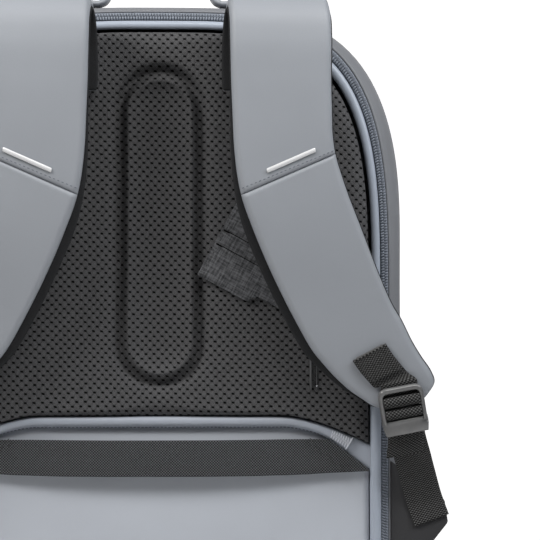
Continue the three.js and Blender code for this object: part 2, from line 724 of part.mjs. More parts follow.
// Buckle in its own frame: X across, Y up, Z out of its face, the top bar's middle at the origin.
function buckleGeometry() {
  const inner = webWidth / 2 + 2 * gap;
  const outer = inner + buckleRail;
  const top = buckleTopBar / 2;
  const round = buckleTopBar;
  const frame = new THREE.Shape();
  const foot = -lipStart - buckleRail;
  frame.moveTo(-outer, foot);
  frame.lineTo(-inner, foot);
  frame.lineTo(-inner, -top);
  frame.lineTo(inner, -top);
  frame.lineTo(inner, foot);
  frame.lineTo(outer, foot);
  frame.lineTo(outer, top - round);
  frame.absarc(outer - round, top - round, round, 0, Math.PI / 2);
  frame.lineTo(-outer + round, top);
  frame.absarc(-outer + round, top - round, round, Math.PI / 2, Math.PI);
  frame.closePath();
  const plateDepth = { depth: buckleDepth, bevelEnabled: false, curveSegments: 4 };
  const parts = [new THREE.ExtrudeGeometry(frame, plateDepth).translate(0, 0, -buckleDepth / 2)];
  for (const down of [firstBar, secondBar]) {
    const bar = new THREE.CylinderGeometry(barRadius, barRadius, 2 * inner + buckleRail, 10);
    parts.push(bar.rotateZ(Math.PI / 2).translate(0, -down, 0));
  }
  const lip = new THREE.BoxGeometry(2 * outer, lipLength, lipThickness)
    .translate(0, -lipLength / 2, lipThickness / 2)
    .rotateX(radians(-lipLean))
    .translate(0, -lipStart, -buckleDepth / 4);
  parts.push(lip);
  return fuse(parts);
}

// Stations half a turn round a bar of the buckle, from its upper to its lower side.
const wrapRadius = barRadius + gap + webEase + webThickness / 2;
function wrapRound(bar, turns) {
  return turns.map((degrees) => bucklePoint(
    bar - wrapRadius * Math.cos(radians(degrees)), wrapRadius * Math.sin(radians(degrees)),
  ));
}

// Webbing sewn to the strap, behind the top bar, round the first bar and back.
const sewnRows = [15.5, 16, 16.5, 17, 17.5]; // rows of the strap that it lies on
function strapWebbingGeometry() {
  const stations = [];
  for (const row of sewnRows) {
    const frame = strapFrame(row);
    const height = gap / 2 + (coverThickness + coverCrown) * frame.pad + gap + webThickness / 2;
    stations.push({ at: strapPoint(frame, 0, height), side: frame.side, width: webWidth });
  }
  const under = -(buckleDepth + webThickness) / 2 - gap;
  const below = under - webThickness - gap;
  const route = [
    bucklePoint(-buckleTopBar, under),
    bucklePoint(0, under),
    bucklePoint(firstBar * 0.36, under * 0.9),
    ...wrapRound(firstBar, [-15, 30, 75, 120, 165, 210, 250]),
    bucklePoint(firstBar * 0.5, below * 0.96),
    bucklePoint(firstBar * 0.1, below),
  ];
  for (const at of route) {
    stations.push({ at, side: buckle.across, width: webWidth });
  }
  return band(stations, webThickness);
}

// Outer corners of the cloth wing, and the webbing's end on it.
const wingSeam = pipingHalf + rimReach;
const wingFront = zipBack - wingThickness;
const wingOuterHigh = [wingSeam + wingReach * 0.94, lerp(wingFoot, wingTop, 0.71)];
const wingOuterLow = [wingSeam + wingReach, lerp(wingFoot, wingTop, 0.54)];
function wingGeometry() {
  return plate([[wingSeam, wingTop], [wingSeam, wingFoot], wingOuterLow, wingOuterHigh], zipBack, wingFront);
}

// Adjusting webbing: from the wing up behind the buckle, over its second bar, and down to a loose end.
const webSlope = 20; // degrees that its cross line rises on the wing
function adjusterWebbingGeometry() {
  const end = new THREE.Vector3(
    (wingOuterLow[0] + wingSeam) / 2 + wingReach * 0.21, wingFront - 2 * gap - webThickness / 2,
    wingOuterLow[1] + webThickness,
  );
  const slope = radians(webSlope);
  const wingSide = new THREE.Vector3(Math.cos(slope), 0, Math.sin(slope));
  const wingUp = new THREE.Vector3(-Math.sin(slope), 0, Math.cos(slope));
  const lipBack = -(buckleDepth / 4) - gap - webThickness / 2;
  const loose = lipBack - webDrift;
  const held = loose - webThickness - 2 * gap;
  const onWing = end.clone().addScaledVector(wingUp, webSewn);
  const leaving = bucklePoint(lipStart + lipLength * 1.3, held - 2.5 * webDrift);
  const slackLine = new THREE.CatmullRomCurve3([
    end, onWing, onWing.clone().lerp(leaving, 0.36).add(new THREE.Vector3(0, webSag, 0)),
    onWing.clone().lerp(leaving, 0.72), leaving, bucklePoint(lipStart, held),
  ]);
  const stations = [];
  const steps = 10;
  for (let i = 0; i < steps; i += 1) {
    const side = wingSide.clone().lerp(buckle.across, i / steps).normalize();
    stations.push({ at: slackLine.getPoint(i / steps), side });
  }
  const hanging = (share, out) => bucklePoint(lerp(lipStart, freeEnd, share), out)
    .addScaledVector(buckle.across, -freeHang * share ** 2);
  const route = [
    bucklePoint(lipStart, held),
    bucklePoint(secondBar + barRadius * 0.625, held + webDrift / 2),
    bucklePoint(secondBar - wrapRadius * 0.9, held * 0.62),
    ...wrapRound(secondBar, [0, 45, 90, 135, 175]),
    bucklePoint(lipStart - webThickness * 0.4, loose * 0.85),
    bucklePoint(lipStart + lipThickness, loose),
    hanging(0.5, loose),
    hanging(1, loose + gap),
  ];
  for (const at of route) {
    stations.push({ at, side: buckle.across });
  }
  return band(stations.map((station) => ({ ...station, width: webWidth })), webThickness);
}

// The same piece for the other shoulder: mirrored in X, with its triangles turned back.
function mirrored(geometry) {
  const bare = geometry.index ? geometry : mergeVertices(geometry);
  const points = [];
  const place = bare.attributes.position;
  for (let i = 0; i < place.count; i += 1) {
    points.push(new THREE.Vector3(-place.getX(i), place.getY(i), place.getZ(i)));
  }
  const triangles = [];
  for (let i = 0; i < bare.index.count; i += 3) {
    triangles.push([bare.index.getX(i), bare.index.getX(i + 1), bare.index.getX(i + 2)]);
  }
  return body(points, triangles);
}

// All pieces of one shoulder strap. sign is 1 for the right strap in the view and -1 for the left.
function harness(label, sign) {
  const group = new THREE.Group();
  const own = (geometry) => (sign > 0 ? geometry : mirrored(geometry));
  group.add(
    piece(`strap_cover_upper_${label}`, own(coverGeometry(0, seamRow)), colours.coatedCloth),
    piece(`strap_cover_lower_${label}`, own(coverGeometry(seamRow, tipRow)), colours.coatedCloth),
    piece(`strap_lining_${label}`, own(liningGeometry()), colours.lining),
    piece(`reflective_tab_${label}`, own(reflectiveTabGeometry()), colours.reflective),
    piece(`strap_webbing_${label}`, own(strapWebbingGeometry()), colours.webbing),
    piece(`adjuster_webbing_${label}`, own(adjusterWebbingGeometry()), colours.webbing),
    piece(`anchor_wing_${label}`, own(wingGeometry()), colours.webbing),
  );
  const ladder = piece(`ladder_buckle_${label}`, buckleGeometry(), colours.plastic);
  const up = buckle.down.clone().negate();
  const turn = new THREE.Quaternion().setFromRotationMatrix(
    new THREE.Matrix4().makeBasis(buckle.across, up, buckle.out),
  );
  ladder.position.copy(buckle.at).setX(sign * buckle.at.x);
  ladder.quaternion.set(turn.x, sign * turn.y, sign * turn.z, turn.w);
  group.add(ladder);
  return group;
}

const backpack = new THREE.Group();
backpack.add(piece('shell', shellGeometry(), colours.shellCloth));
backpack.add(piece('back_mesh_panel', meshPanelGeometry(), colours.mesh));
backpack.add(piece('lower_back_panel', lowerPanelGeometry(), colours.coatedCloth));
backpack.add(piece('arch_binding', bindingGeometry(), colours.piping));
backpack.add(piece('edge_piping', pipingGeometry(), colours.piping));
backpack.add(piece('main_zip', rimBand([
  [zipInner, zipBack], [zipOuter, zipBack], [zipOuter, zipFront], [zipInner, zipFront],
]), colours.zip));
backpack.add(piece('luggage_strap', luggageStrapGeometry(), colours.webbing));

const slider = piece('main_zip_slider', sliderGeometry(), colours.plastic);
slider.position.set(-(pipingHalf + zipInner + sliderWidth / 2), zipFront - gap, sliderHeight);
backpack.add(slider);

const cardPocket = piece('card_pocket', cardPocketGeometry(), colours.melange);
cardPocket.position.set(cardPocketX, panelFront - gap, cardPocketZ);
cardPocket.rotation.y = cardPocketLean;
backpack.add(cardPocket);

const pocketZip = piece('pocket_zip', pocketZipGeometry(), colours.zip);
pocketZip.position.set(pocketZipX, panelFront - gap, pocketZipFoot);
backpack.add(pocketZip);

const handle = piece('carry_handle', handleGeometry(), colours.coatedCloth);
handle.position.y = shellBack + handleInset;
backpack.add(handle);

backpack.add(harness('right', 1));
backpack.add(harness('left', -1));

export default backpack;
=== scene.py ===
# %% [markdown]
# # A backpack that opens against the wearer's back
# This lesson dresses a packed model of a backpack. The packed model gives every piece its place and
# size, and each step below makes one piece as it is sewn, moulded or woven, then gives it a finish.
# Lengths are worked out in millimetres, and a mesh gets them in metres.

import json
import math

import bpy
import numpy as np
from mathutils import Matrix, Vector

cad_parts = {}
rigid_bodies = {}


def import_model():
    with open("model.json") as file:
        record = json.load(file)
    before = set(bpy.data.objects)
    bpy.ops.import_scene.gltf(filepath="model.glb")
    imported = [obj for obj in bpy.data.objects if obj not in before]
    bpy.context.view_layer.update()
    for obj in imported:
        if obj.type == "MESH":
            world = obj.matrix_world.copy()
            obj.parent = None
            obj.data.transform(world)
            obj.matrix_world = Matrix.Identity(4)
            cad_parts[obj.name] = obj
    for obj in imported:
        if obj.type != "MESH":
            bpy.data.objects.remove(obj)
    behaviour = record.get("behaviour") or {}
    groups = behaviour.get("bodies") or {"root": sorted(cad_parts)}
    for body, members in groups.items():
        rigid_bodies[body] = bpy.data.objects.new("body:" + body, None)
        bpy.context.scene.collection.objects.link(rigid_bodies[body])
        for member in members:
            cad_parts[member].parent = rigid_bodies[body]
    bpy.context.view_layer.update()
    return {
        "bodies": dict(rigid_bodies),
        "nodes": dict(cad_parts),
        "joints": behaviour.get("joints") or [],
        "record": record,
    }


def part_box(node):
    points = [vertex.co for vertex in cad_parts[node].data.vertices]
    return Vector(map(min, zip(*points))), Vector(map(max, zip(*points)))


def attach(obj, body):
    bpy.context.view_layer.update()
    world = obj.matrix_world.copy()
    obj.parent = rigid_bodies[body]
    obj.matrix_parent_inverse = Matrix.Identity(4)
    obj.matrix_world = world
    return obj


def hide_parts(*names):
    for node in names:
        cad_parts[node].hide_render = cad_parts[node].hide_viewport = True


MM = 0.001
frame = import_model()
scene = bpy.context.scene
scene.view_settings.view_transform = "Standard"


def node_box(node):
    """Lowest and highest corner of a packed node, in millimetres."""
    low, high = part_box(node)
    return np.array(low) / MM, np.array(high) / MM


# %% [markdown]
# ## Camera
# A long lens, a little left of the bag's middle and level with it, gives the flat view of a product
# photograph. The camera comes first, because every later choice is judged through it.

# %% The camera
camera_data = bpy.data.cameras.new("camera")
camera_data.lens = 166.7
camera_data.sensor_width = 36
camera = bpy.data.objects.new("camera", camera_data)
scene.collection.objects.link(camera)
camera.location = (0.015, -1.78, 0.262)
camera_target = Vector((0.0748, -0.080, 0.2832))
camera.rotation_euler = (camera_target - camera.location).to_track_quat("-Z", "Y").to_euler()
scene.camera = camera
print("camera to target:", round((camera_target - camera.location).length, 3), "m")

# %% [markdown]
# ## Driving sizes
# The overall sizes come from the packed nodes, so a piece made here meets its neighbours. The few
# sizes that a box can't give, such as a gap or the radius of the piping, are named here.

# %% Sizes from the frame
gap = 0.3
shell_low, shell_high = node_box("shell")
half_width, bag_height = shell_high[0], shell_high[2]
open_side, front_side = shell_low[1], shell_high[1]
bag_depth = front_side - open_side
shell_wall = 5.0
base_corner = 42.0
shoulder_line = 255.0
arch_power = 3.55

piping_radius = 3.2
piping_low, piping_high = node_box("edge_piping")
piping_half = piping_high[0] - piping_radius
piping_top = piping_high[2] - piping_radius
piping_foot = piping_low[2] + piping_radius
zip_low, zip_high = node_box("main_zip")
zip_inner = piping_radius + gap
zip_outer = zip_high[0] - piping_half
zip_back, zip_front = zip_high[1], zip_low[1]
piping_y = zip_back - piping_radius
fold_width = 1.8
rim_reach = zip_outer + fold_width

panel_half, panel_back, _ = node_box("back_mesh_panel")[1]
panel_thickness = 11.0
panel_front = panel_back - panel_thickness
panel_edge = panel_half - piping_half
edge_roll = 7.0
print(f"bag {2 * half_width:.0f} x {bag_depth:.0f} x {bag_height:.0f} mm, "
      f"piping half width {piping_half:.1f}, panel front at {panel_front:.1f}")

# %% [markdown]
# ## Surfaces from arrays
# Each piece is a grid of points. A closed direction joins its last line of points to its first, as
# round a tube, and an open one gets a cap at each end. Working on whole arrays keeps this quick.

# %% Faces of a grid
def grid_quads(rows, cols, close_rows=False, close_cols=False):
    """Quads between neighbouring points of a grid whose points are numbered row by row."""
    i, j = np.meshgrid(np.arange(rows - (not close_rows)), np.arange(cols - (not close_cols)),
                       indexing="ij")
    down, right = (i + 1) % rows, (j + 1) % cols
    corners = [i * cols + j, i * cols + right, down * cols + right, down * cols + j]
    return np.stack(corners, axis=-1).reshape(-1, 4)


def cap(ring_start, count, hub, turned):
    """Triangles from a ring of count points to the point hub at its middle."""
    here = ring_start + np.arange(count)
    after = ring_start + (np.arange(count) + 1) % count
    pair = (after, here) if turned else (here, after)
    return np.stack([*pair, np.full(count, hub)], axis=-1)


def volume(points, faces):
    """Signed volume inside closed faces: a sixth of the sum of each triangle's triple product."""
    total = 0.0
    for group in faces:
        for k in range(1, group.shape[1] - 1):
            a, b, c = points[group[:, 0]], points[group[:, k]], points[group[:, k + 1]]
            total += np.einsum("ij,ij->", a, np.cross(b, c)) / 6
    return total


# %% A mesh from points and faces
def make_piece(name, points, faces, cloth=None):
    """Closed mesh from points in millimetres. Its faces are turned outward by the sign of its volume.
    cloth holds a place on the cloth for each point, in millimetres, kept as the map called cloth."""
    points = np.asarray(points, float)
    if volume(points, faces) < 0:
        faces = [group[:, ::-1] for group in faces]
    mesh = bpy.data.meshes.new(name)
    loops = np.concatenate([group.ravel() for group in faces]).astype(np.int32)
    counts = np.concatenate([np.full(len(group), group.shape[1]) for group in faces])
    mesh.vertices.add(len(points))
    mesh.vertices.foreach_set("co", (points * MM).ravel())
    mesh.loops.add(len(loops))
    mesh.loops.foreach_set("vertex_index", loops)
    mesh.polygons.add(len(counts))
    mesh.polygons.foreach_set("loop_start", np.concatenate([[0], np.cumsum(counts)[:-1]]).astype(np.int32))
    mesh.polygons.foreach_set("use_smooth", np.ones(len(counts), bool))
    mesh.update(calc_edges=True)
    if cloth is not None:
        layer = mesh.uv_layers.new(name="cloth")
        layer.data.foreach_set("uv", (np.asarray(cloth, float)[loops] * MM).ravel())
    piece = bpy.data.objects.new(name, mesh)
    scene.collection.objects.link(piece)
    return piece


def sweep(name, sections, cloth=None):
    """Solid through closed sections, an array of stations by points, with a cap on both ends."""
    rows, cols = sections.shape[:2]
    points = np.vstack([sections.reshape(-1, 3), sections[0].mean(0), sections[-1].mean(0)])
    faces = [grid_quads(rows, cols, close_cols=True), np.vstack([
        cap(0, cols, rows * cols, True), cap((rows - 1) * cols, cols, rows * cols + 1, False)])]
    if cloth is not None:
        cloth = np.vstack([cloth.reshape(-1, 2), cloth[0].mean(0), cloth[-1].mean(0)])
    return make_piece(name, points, faces, cloth)


def hoop(name, sections, cloth=None):
    """Solid through closed sections that return to the first one, as round a rim."""
    rows, cols = sections.shape[:2]
    if cloth is not None:
        cloth = cloth.reshape(-1, 2)
    return make_piece(name, sections.reshape(-1, 3), [grid_quads(rows, cols, True, True)], cloth)


def lerp(a, b, share):
    return a + (b - a) * share


def ease(value, low, high):
    """0 below low, 1 above high and an S-shaped blend between them."""
    share = np.clip((value - low) / (high - low), 0, 1)
    return share * share * (3 - 2 * share)


def unit(vectors):
    return vectors / np.linalg.norm(vectors, axis=-1, keepdims=True)


def points_of(*parts):
    """Points from their coordinates. Each is an array, or one number that all the points share."""
    return np.stack(np.broadcast_arrays(*parts), axis=-1)


def round_angles(count):
    """Even angles round a circle, from 0."""
    return np.arange(count) * 2 * math.pi / count


def running(line):
    """Distance along a polyline from its first point to each of its points."""
    return np.concatenate([[0], np.cumsum(np.linalg.norm(np.diff(line, axis=0), axis=1))])


# %% A smooth curve through the rows of a table
def smooth_rows(table, place):
    """Catmull-Rom curve through a table's rows: between two rows it is a cubic whose slope at each
    row is half the step between that row's neighbours. place counts rows and may be a fraction."""
    table = np.asarray(table, float)
    place = np.clip(np.asarray(place, float), 0, len(table) - 1)
    low = np.minimum(place.astype(int), len(table) - 2)
    share = (place - low)[..., None]
    padded = np.vstack([2 * table[0] - table[1], table, 2 * table[-1] - table[-2]])
    a, b, c, d = (padded[low + k] for k in range(4))
    return 0.5 * (2 * b + (c - a) * share + (2 * a - 5 * b + 4 * c - d) * share**2
                  + (3 * b - a - 3 * c + d) * share**3)


def spaced(points, spacing=None, count=None):
    """Points at even distances along a polyline, found by reading its running length backwards."""
    run = running(points)
    total = count or int(round(run[-1] / spacing)) + 1
    wanted = np.linspace(0, run[-1], total)
    return np.stack([np.interp(wanted, run, points[:, k]) for k in range(points.shape[1])], axis=-1)


print("helpers ready; a 3 by 4 tube has", len(grid_quads(3, 4, close_cols=True)), "quads")

# %% [markdown]
# ## Many small copies
# Zip teeth and stitches repeat hundreds of times. One short capsule is worked out once and copied
# along arrays of places, so that all of a seam's thread is one mesh.

# %% Capsules between pairs of points
capsule_sides = 6
capsule_rows = np.array([(0.0, 0.45), (0.12, 1.0), (0.88, 1.0), (1.0, 0.45)])


def capsules(name, starts, ends, radius, flat=1.0, face=(0, -1, 0)):
    """Round-ended bars between matching starts and ends. flat is their height as a share of their
    width, and face the direction in which they are that high."""
    starts, ends = np.atleast_2d(starts), np.atleast_2d(ends)
    run = unit(ends - starts)
    side = unit(np.cross(run, np.broadcast_to(face, run.shape)))
    up = np.cross(side, run)
    angle = round_angles(capsule_sides)
    share, swell = capsule_rows.T
    centre = starts[:, None] + (ends - starts)[:, None] * share[:, None]
    across = np.cos(angle) * radius
    height = np.sin(angle) * radius * flat
    ring = side[:, None, None] * across[:, None] + up[:, None, None] * height[:, None]
    points = centre[:, :, None] + ring * swell[:, None, None]
    count, rows = len(starts), len(capsule_rows)
    body = np.concatenate([points.reshape(count, -1, 3), starts[:, None], ends[:, None]], axis=1)
    size = rows * capsule_sides
    quads = grid_quads(rows, capsule_sides, close_cols=True)
    caps = np.vstack([cap(0, capsule_sides, size, True),
                      cap(size - capsule_sides, capsule_sides, size + 1, False)])
    shift = (np.arange(count) * (size + 2))[:, None, None]
    faces = [(group + shift).reshape(-1, group.shape[1]) for group in (quads, caps)]
    return make_piece(name, body.reshape(-1, 3), faces)


def stitches(name, path, pitch, length, radius, face=(0, -1, 0)):
    """Row of stitches along a polyline: one short capsule at each step of the pitch."""
    places = spaced(path, pitch)
    run = unit(np.gradient(places, axis=0))
    return capsules(name, places - run * length / 2, places + run * length / 2, radius, 0.6, face)


print("a capsule has", 3 * capsule_sides * 2 + 2 * capsule_sides, "triangles")

# %% [markdown]
# ## Shader maths as Python
# A finish is a small tree of nodes. Wrapping a socket in a class with operators lets a pattern be
# written as a formula, and one method makes every other kind of node. Colours go through Mix nodes.

# %% Sockets that can be added and multiplied
class Field:
    """A number that varies over a surface. Each operator adds a Math node."""

    def __init__(self, finish, socket):
        self.finish, self.socket = finish, socket

    def math(self, operation, *values):
        return self.finish.node("ShaderNodeMath", {"operation": operation}, dict(enumerate(values)))

    def __add__(self, other):
        return self.math("ADD", self, other)

    def __sub__(self, other):
        return self.math("SUBTRACT", self, other)

    def __rsub__(self, other):
        return self.math("SUBTRACT", other, self)

    def __mul__(self, other):
        return self.math("MULTIPLY", self, other)

    def __truediv__(self, other):
        return self.math("DIVIDE", self, other)

    __radd__, __rmul__ = __add__, __mul__

    def power(self, exponent):
        return self.math("POWER", self, exponent)

    def wave(self, pitch):
        """Cosine of the field: 1 at each multiple of the pitch and -1 half-way between."""
        return self.math("COSINE", self * (2 * math.pi / pitch))

    def fold(self, pitch):
        """Distance to the nearest multiple of the pitch."""
        return self.math("PINGPONG", self, pitch / 2)

    def offset(self):
        """Signed distance to the nearest whole number."""
        return self - self.math("ROUND", self)

    def within(self, low, high):
        """0 below low, 1 above high, blended smoothly; with low over high it runs the other way."""
        settings = {"interpolation_type": "SMOOTHSTEP"}
        if low > high:
            return 1 - self.within(high, low)
        return self.finish.node("ShaderNodeMapRange", settings, {0: self, 1: low, 2: high, 3: 0.0, 4: 1.0})


class Finish:
    """A material and the nodes in it. Constants are set on the shader's own sockets."""

    def __init__(self, name, colour, roughness, **constants):
        self.material = bpy.data.materials.new(name)
        self.material.use_nodes = True
        self.tree = self.material.node_tree
        self.shader = self.tree.nodes["Principled BSDF"]
        self.shader.inputs["Base Color"].default_value = (*colour, 1)
        self.shader.inputs["Roughness"].default_value = roughness
        for socket, value in constants.items():
            self.shader.inputs[socket.replace("_", " ")].default_value = value

    def node(self, kind, settings=None, inputs=None, output=0):
        """Any node: its settings first, then values or links for its sockets, then one output."""
        made = self.tree.nodes.new(kind)
        for key, value in (settings or {}).items():
            setattr(made, key, value)
        for key, value in (inputs or {}).items():
            self.plug(made.inputs[key], value)
        return Field(self, made.outputs[output])

    def plug(self, socket, value):
        if isinstance(value, Field):
            self.tree.links.new(value.socket, socket)
        elif isinstance(value, tuple) and socket.type == "RGBA":
            socket.default_value = (*value, 1)
        else:
            socket.default_value = value

    def coordinates(self):
        """Object coordinates as a vector."""
        return self.node("ShaderNodeTexCoord", output="Object")

    def split(self, vector, scale=1 / MM):
        """A vector's X, Y and Z as fields in millimetres."""
        parts = self.node("ShaderNodeSeparateXYZ", inputs={0: vector})
        outputs = parts.socket.node.outputs
        return [Field(self, outputs[k]) * scale for k in range(3)]

    def on_cloth(self):
        """Place on the cloth, across and along, in millimetres."""
        return self.split(self.node("ShaderNodeUVMap", {"uv_map": "cloth"}))[:2]

    def noise(self, vector, size, detail=2.0, roughness=0.5):
        """Noise from 0 to 1 whose largest lumps are about size millimetres across."""
        inputs = {"Vector": vector, "Scale": 1 / (size * MM), "Detail": detail, "Roughness": roughness}
        return self.node("ShaderNodeTexNoise", inputs=inputs)

    def mix(self, share, first, second):
        """Colour from the first, where share is 0, to the second, where it is 1."""
        return self.node("ShaderNodeMix", {"data_type": "RGBA"}, {0: share, 6: first, 7: second}, 2)

    def paint(self, colour=None, roughness=None):
        for socket, value in (("Base Color", colour), ("Roughness", roughness)):
            if value is not None:
                self.plug(self.shader.inputs[socket], value)

    def relief(self, height, depth):
        """Bump by a height field, where 1 stands depth millimetres proud of 0."""
        bump = self.node("ShaderNodeBump", inputs={"Height": height, "Distance": depth * MM, "Strength": 1.0})
        self.plug(self.shader.inputs["Normal"], bump)


print("field operators:", [name for name in vars(Field) if name.startswith("__")][3:])

# %% [markdown]
# ## Finishes of the cloths
# Coated cloth is smooth and matt with a very fine grain. The shell's cloth is a little more neutral
# and duller, and the piping and the binding are paler. The lower panel is the straps' cloth with a
# paler colour, as painted light for the light that falls on it from the front. All get a low
# cloudiness, since no sewn panel is lit or rolled quite evenly.

# %% Coated cloths
def scaled(colour, share):
    return tuple(min(1.0, share * c) for c in colour)


def coated(name, colour, roughness, grain=0.05, **constants):
    """Coated cloth: a fine pebble grain, a faint weave under the coat and soft cloudiness."""
    finish = Finish(name, colour, roughness, **constants)
    place = finish.coordinates()
    x, y, z = finish.split(place)
    grains = finish.noise(place, 0.7, 3.0)
    cloud = finish.noise(place, 60.0, 2.0)
    weave = (x + y).wave(0.8) * z.wave(0.8)
    tint = finish.mix(0.65 * cloud + 0.35 * grains, scaled(colour, 0.9), scaled(colour, 1.07))
    finish.paint(tint, roughness - 0.06 + 0.12 * grains)
    finish.relief(0.75 * grains + 0.25 * weave, grain)
    return finish


strap_cloth = coated("strap_cloth", (0.300, 0.318, 0.350), 0.52)
shell_cloth = coated("shell_cloth", (0.215, 0.222, 0.240), 0.56, grain=0.06)
piping_cloth = coated("piping_cloth", (0.370, 0.412, 0.485), 0.36, grain=0.03,
                      Coat_Weight=0.25, Coat_Roughness=0.3)
binding_cloth = coated("binding_cloth", (0.360, 0.390, 0.450), 0.42)
# Painted light: the straps' cloth with its colour raised, standing for the front light on the lower panel.
painted_light_lower_cloth = coated("painted_light_lower_cloth", (0.480, 0.508, 0.562), 0.52)
coated_cloths = (strap_cloth, shell_cloth, piping_cloth, binding_cloth, painted_light_lower_cloth)
print("coated cloths:", [finish.material.name for finish in coated_cloths])

# %% [markdown]
# ## Air mesh
# Spacer mesh is knitted with small eyes on a diamond lattice. Two families of diagonal lines cross
# at the eyes: an eye sits wherever both line numbers are whole. Each diamond between them is a
# little cushion of yarn, and neighbouring diamonds run in opposite directions.

# %% Air mesh finish
eye_pitch = 5.6
eye_rise = 6.0
eye_half_width, eye_half_height = 1.0, 0.62
# How far slow drift moves the knit across and up, and how far a quicker wobble moves it.
drift_across, drift_up, knit_wobble = 6.0, 4.0, 0.8


def air_mesh_finish():
    finish = Finish("air_mesh", (0.05, 0.05, 0.053), 0.85, Specular_IOR_Level=0.12)
    place = finish.coordinates()
    x, y, z = finish.split(place)
    drift = finish.noise(place, 70.0, 1.0)
    wobble = finish.noise(place, 9.0, 1.0)
    x = x + drift_across * drift + knit_wobble * wobble
    z = z + drift_up * drift - knit_wobble * wobble
    right = x / eye_pitch + z / eye_rise
    left = x / eye_pitch - z / eye_rise
    near_right, near_left = right.offset(), left.offset()
    out_x = (near_right + near_left) * (eye_pitch / 2 / eye_half_width)
    out_z = (near_right - near_left) * (eye_rise / 2 / eye_half_height) + out_x * 0.2
    eye = (out_x.power(2.0) + out_z.power(2.0)).within(1.7, 0.75)
    across_right, across_left = right.fold(1.0), left.fold(1.0)
    line = across_right.within(0.10, 0.02) + across_left.within(0.10, 0.02)
    cushion = across_right.math("MULTIPLY", across_right, across_left) * 4
    turn = (right / 2 + 0.25).wave(1.0)
    yarn = right.wave(0.2) * turn.within(-0.3, 0.3) + left.wave(0.2) * turn.within(0.3, -0.3)
    fuzz = finish.noise(place, 0.8, 3.0)
    light = 0.52 + 0.06 * cushion + 0.14 * yarn + 0.9 * (fuzz - 0.5) - 0.18 * line
    shade = finish.mix(light, (0.020, 0.020, 0.021), (0.150, 0.150, 0.156))
    finish.paint(finish.mix(eye, shade, (0.0012, 0.0012, 0.0013)), 0.85)
    finish.relief(cushion * 0.3 + yarn * 0.16 + fuzz * 0.3 - line * 0.25 - eye * 1.2, 0.5)
    return finish


air_mesh = air_mesh_finish()
print("eyes in a square decimetre:", round(2 * 100 * 100 / (eye_pitch * eye_rise)))

# %% [markdown]
# ## Black webbings
# Webbing is woven on narrow looms. Its ribs lean across it in small steps, which read as fine
# diagonal checks. The suitcase strap has slightly larger and flatter checks that lean further over.

# %% Webbing, lining and melange finishes
check_pitch, check_sunk = 1.8, 0.04


def webbing_finish(name, colour, pitch, lean, depth, contrast=2.6):
    """Checks of two crossing waves over the cloth: one leans along it, the other against it. Between
    the checks the yarn sinks to a small share of its colour, and on them it rises by the contrast."""
    finish = Finish(name, colour, 0.62, Specular_IOR_Level=0.1)
    across, along = finish.on_cloth()
    place = finish.coordinates()
    fuzz = finish.noise(place, 0.6, 3.0)
    rib = (along + across * lean).wave(pitch)
    rows = (along - across * lean).wave(pitch)
    check = (rib + rows) * 0.25 + 0.5
    share = check.power(2.0) + 0.5 * (fuzz - 0.5)
    finish.paint(finish.mix(share, scaled(colour, check_sunk), scaled(colour, contrast)), 0.52 + 0.2 * fuzz)
    finish.relief(check + 0.25 * fuzz, depth)
    return finish


strap_webbing = webbing_finish("strap_webbing", (0.030, 0.030, 0.030), check_pitch, 0.7, 0.4, contrast=5.0)
suitcase_webbing = webbing_finish("suitcase_webbing", (0.048, 0.050, 0.053), 1.9, 1.0, 0.3, contrast=4.0)
wing_cloth = webbing_finish("wing_cloth", (0.018, 0.018, 0.019), 0.9, 0.8, 0.2)


def lining_finish():
    """Fine knit: short dark grains in rows along the strap."""
    finish = Finish("lining_cloth", (0.018, 0.018, 0.020), 0.85, Specular_IOR_Level=0.15)
    place = finish.coordinates()
    x, y, z = finish.split(place)
    knit = (x + z).wave(1.3) * (x - z).wave(1.1)
    fuzz = finish.noise(place, 0.7, 3.0)
    share = 0.5 * fuzz + 0.25 * knit + 0.2
    finish.paint(finish.mix(share, (0.006, 0.006, 0.007), (0.050, 0.051, 0.054)), 0.85)
    finish.relief(knit * 0.5 + fuzz, 0.25)
    return finish


def melange_finish():
    """Pale and dark yarns mixed, seen as fine streaks along both threads of the weave."""
    finish = Finish("melange_cloth", (0.055, 0.057, 0.062), 0.8, Specular_IOR_Level=0.2)
    across, along = finish.on_cloth()
    cloth = finish.node("ShaderNodeUVMap", {"uv_map": "cloth"})

    def streaks(stretch):
        turned = finish.node("ShaderNodeMapping", inputs={0: cloth, 2: (0, 0, 0.15), 3: stretch})
        return finish.noise(turned, 1.4, 3.0, 0.65)

    warp, weft = streaks((1.0, 0.12, 1.0)), streaks((0.12, 1.0, 1.0))
    weave = across.wave(0.9) * along.wave(0.9)
    share = (0.5 * warp + 0.5 * weft).within(0.36, 0.66) + 0.12 * weave
    finish.paint(finish.mix(share, (0.030, 0.031, 0.034), (0.160, 0.163, 0.174)), 0.8)
    finish.relief(weave * 0.4 + warp * 0.5 + weft * 0.5, 0.18)
    return finish


lining_cloth = lining_finish()
melange_cloth = melange_finish()
print("webbing checks in 25 mm:", round(25 / check_pitch))

# %% [markdown]
# ## Plastics, thread and film
# The buckle is moulded in black acetal with a soft spark-eroded grain; its colour is set well above
# black, partly as painted sheen for its reflections. Zip teeth are nylon coil, and the tab is a film
# of tiny glass beads under a clear coat, which scatters light back.

# %% Moulded plastic, coil, thread and reflective film
def moulded(name, colour, roughness, grain_size=0.35, depth=0.02, **constants):
    """Fine grain in relief, and slow wear that makes the colour and the gloss uneven."""
    finish = Finish(name, colour, roughness, **constants)
    place = finish.coordinates()
    grain = finish.noise(place, grain_size, 2.0)
    wear = finish.noise(place, 6.0, 4.0, 0.6)
    tint = finish.mix(wear, scaled(colour, 0.8), scaled(colour, 1.3))
    finish.paint(tint, roughness - 0.07 + 0.1 * wear + 0.04 * grain)
    finish.relief(grain, depth)
    return finish


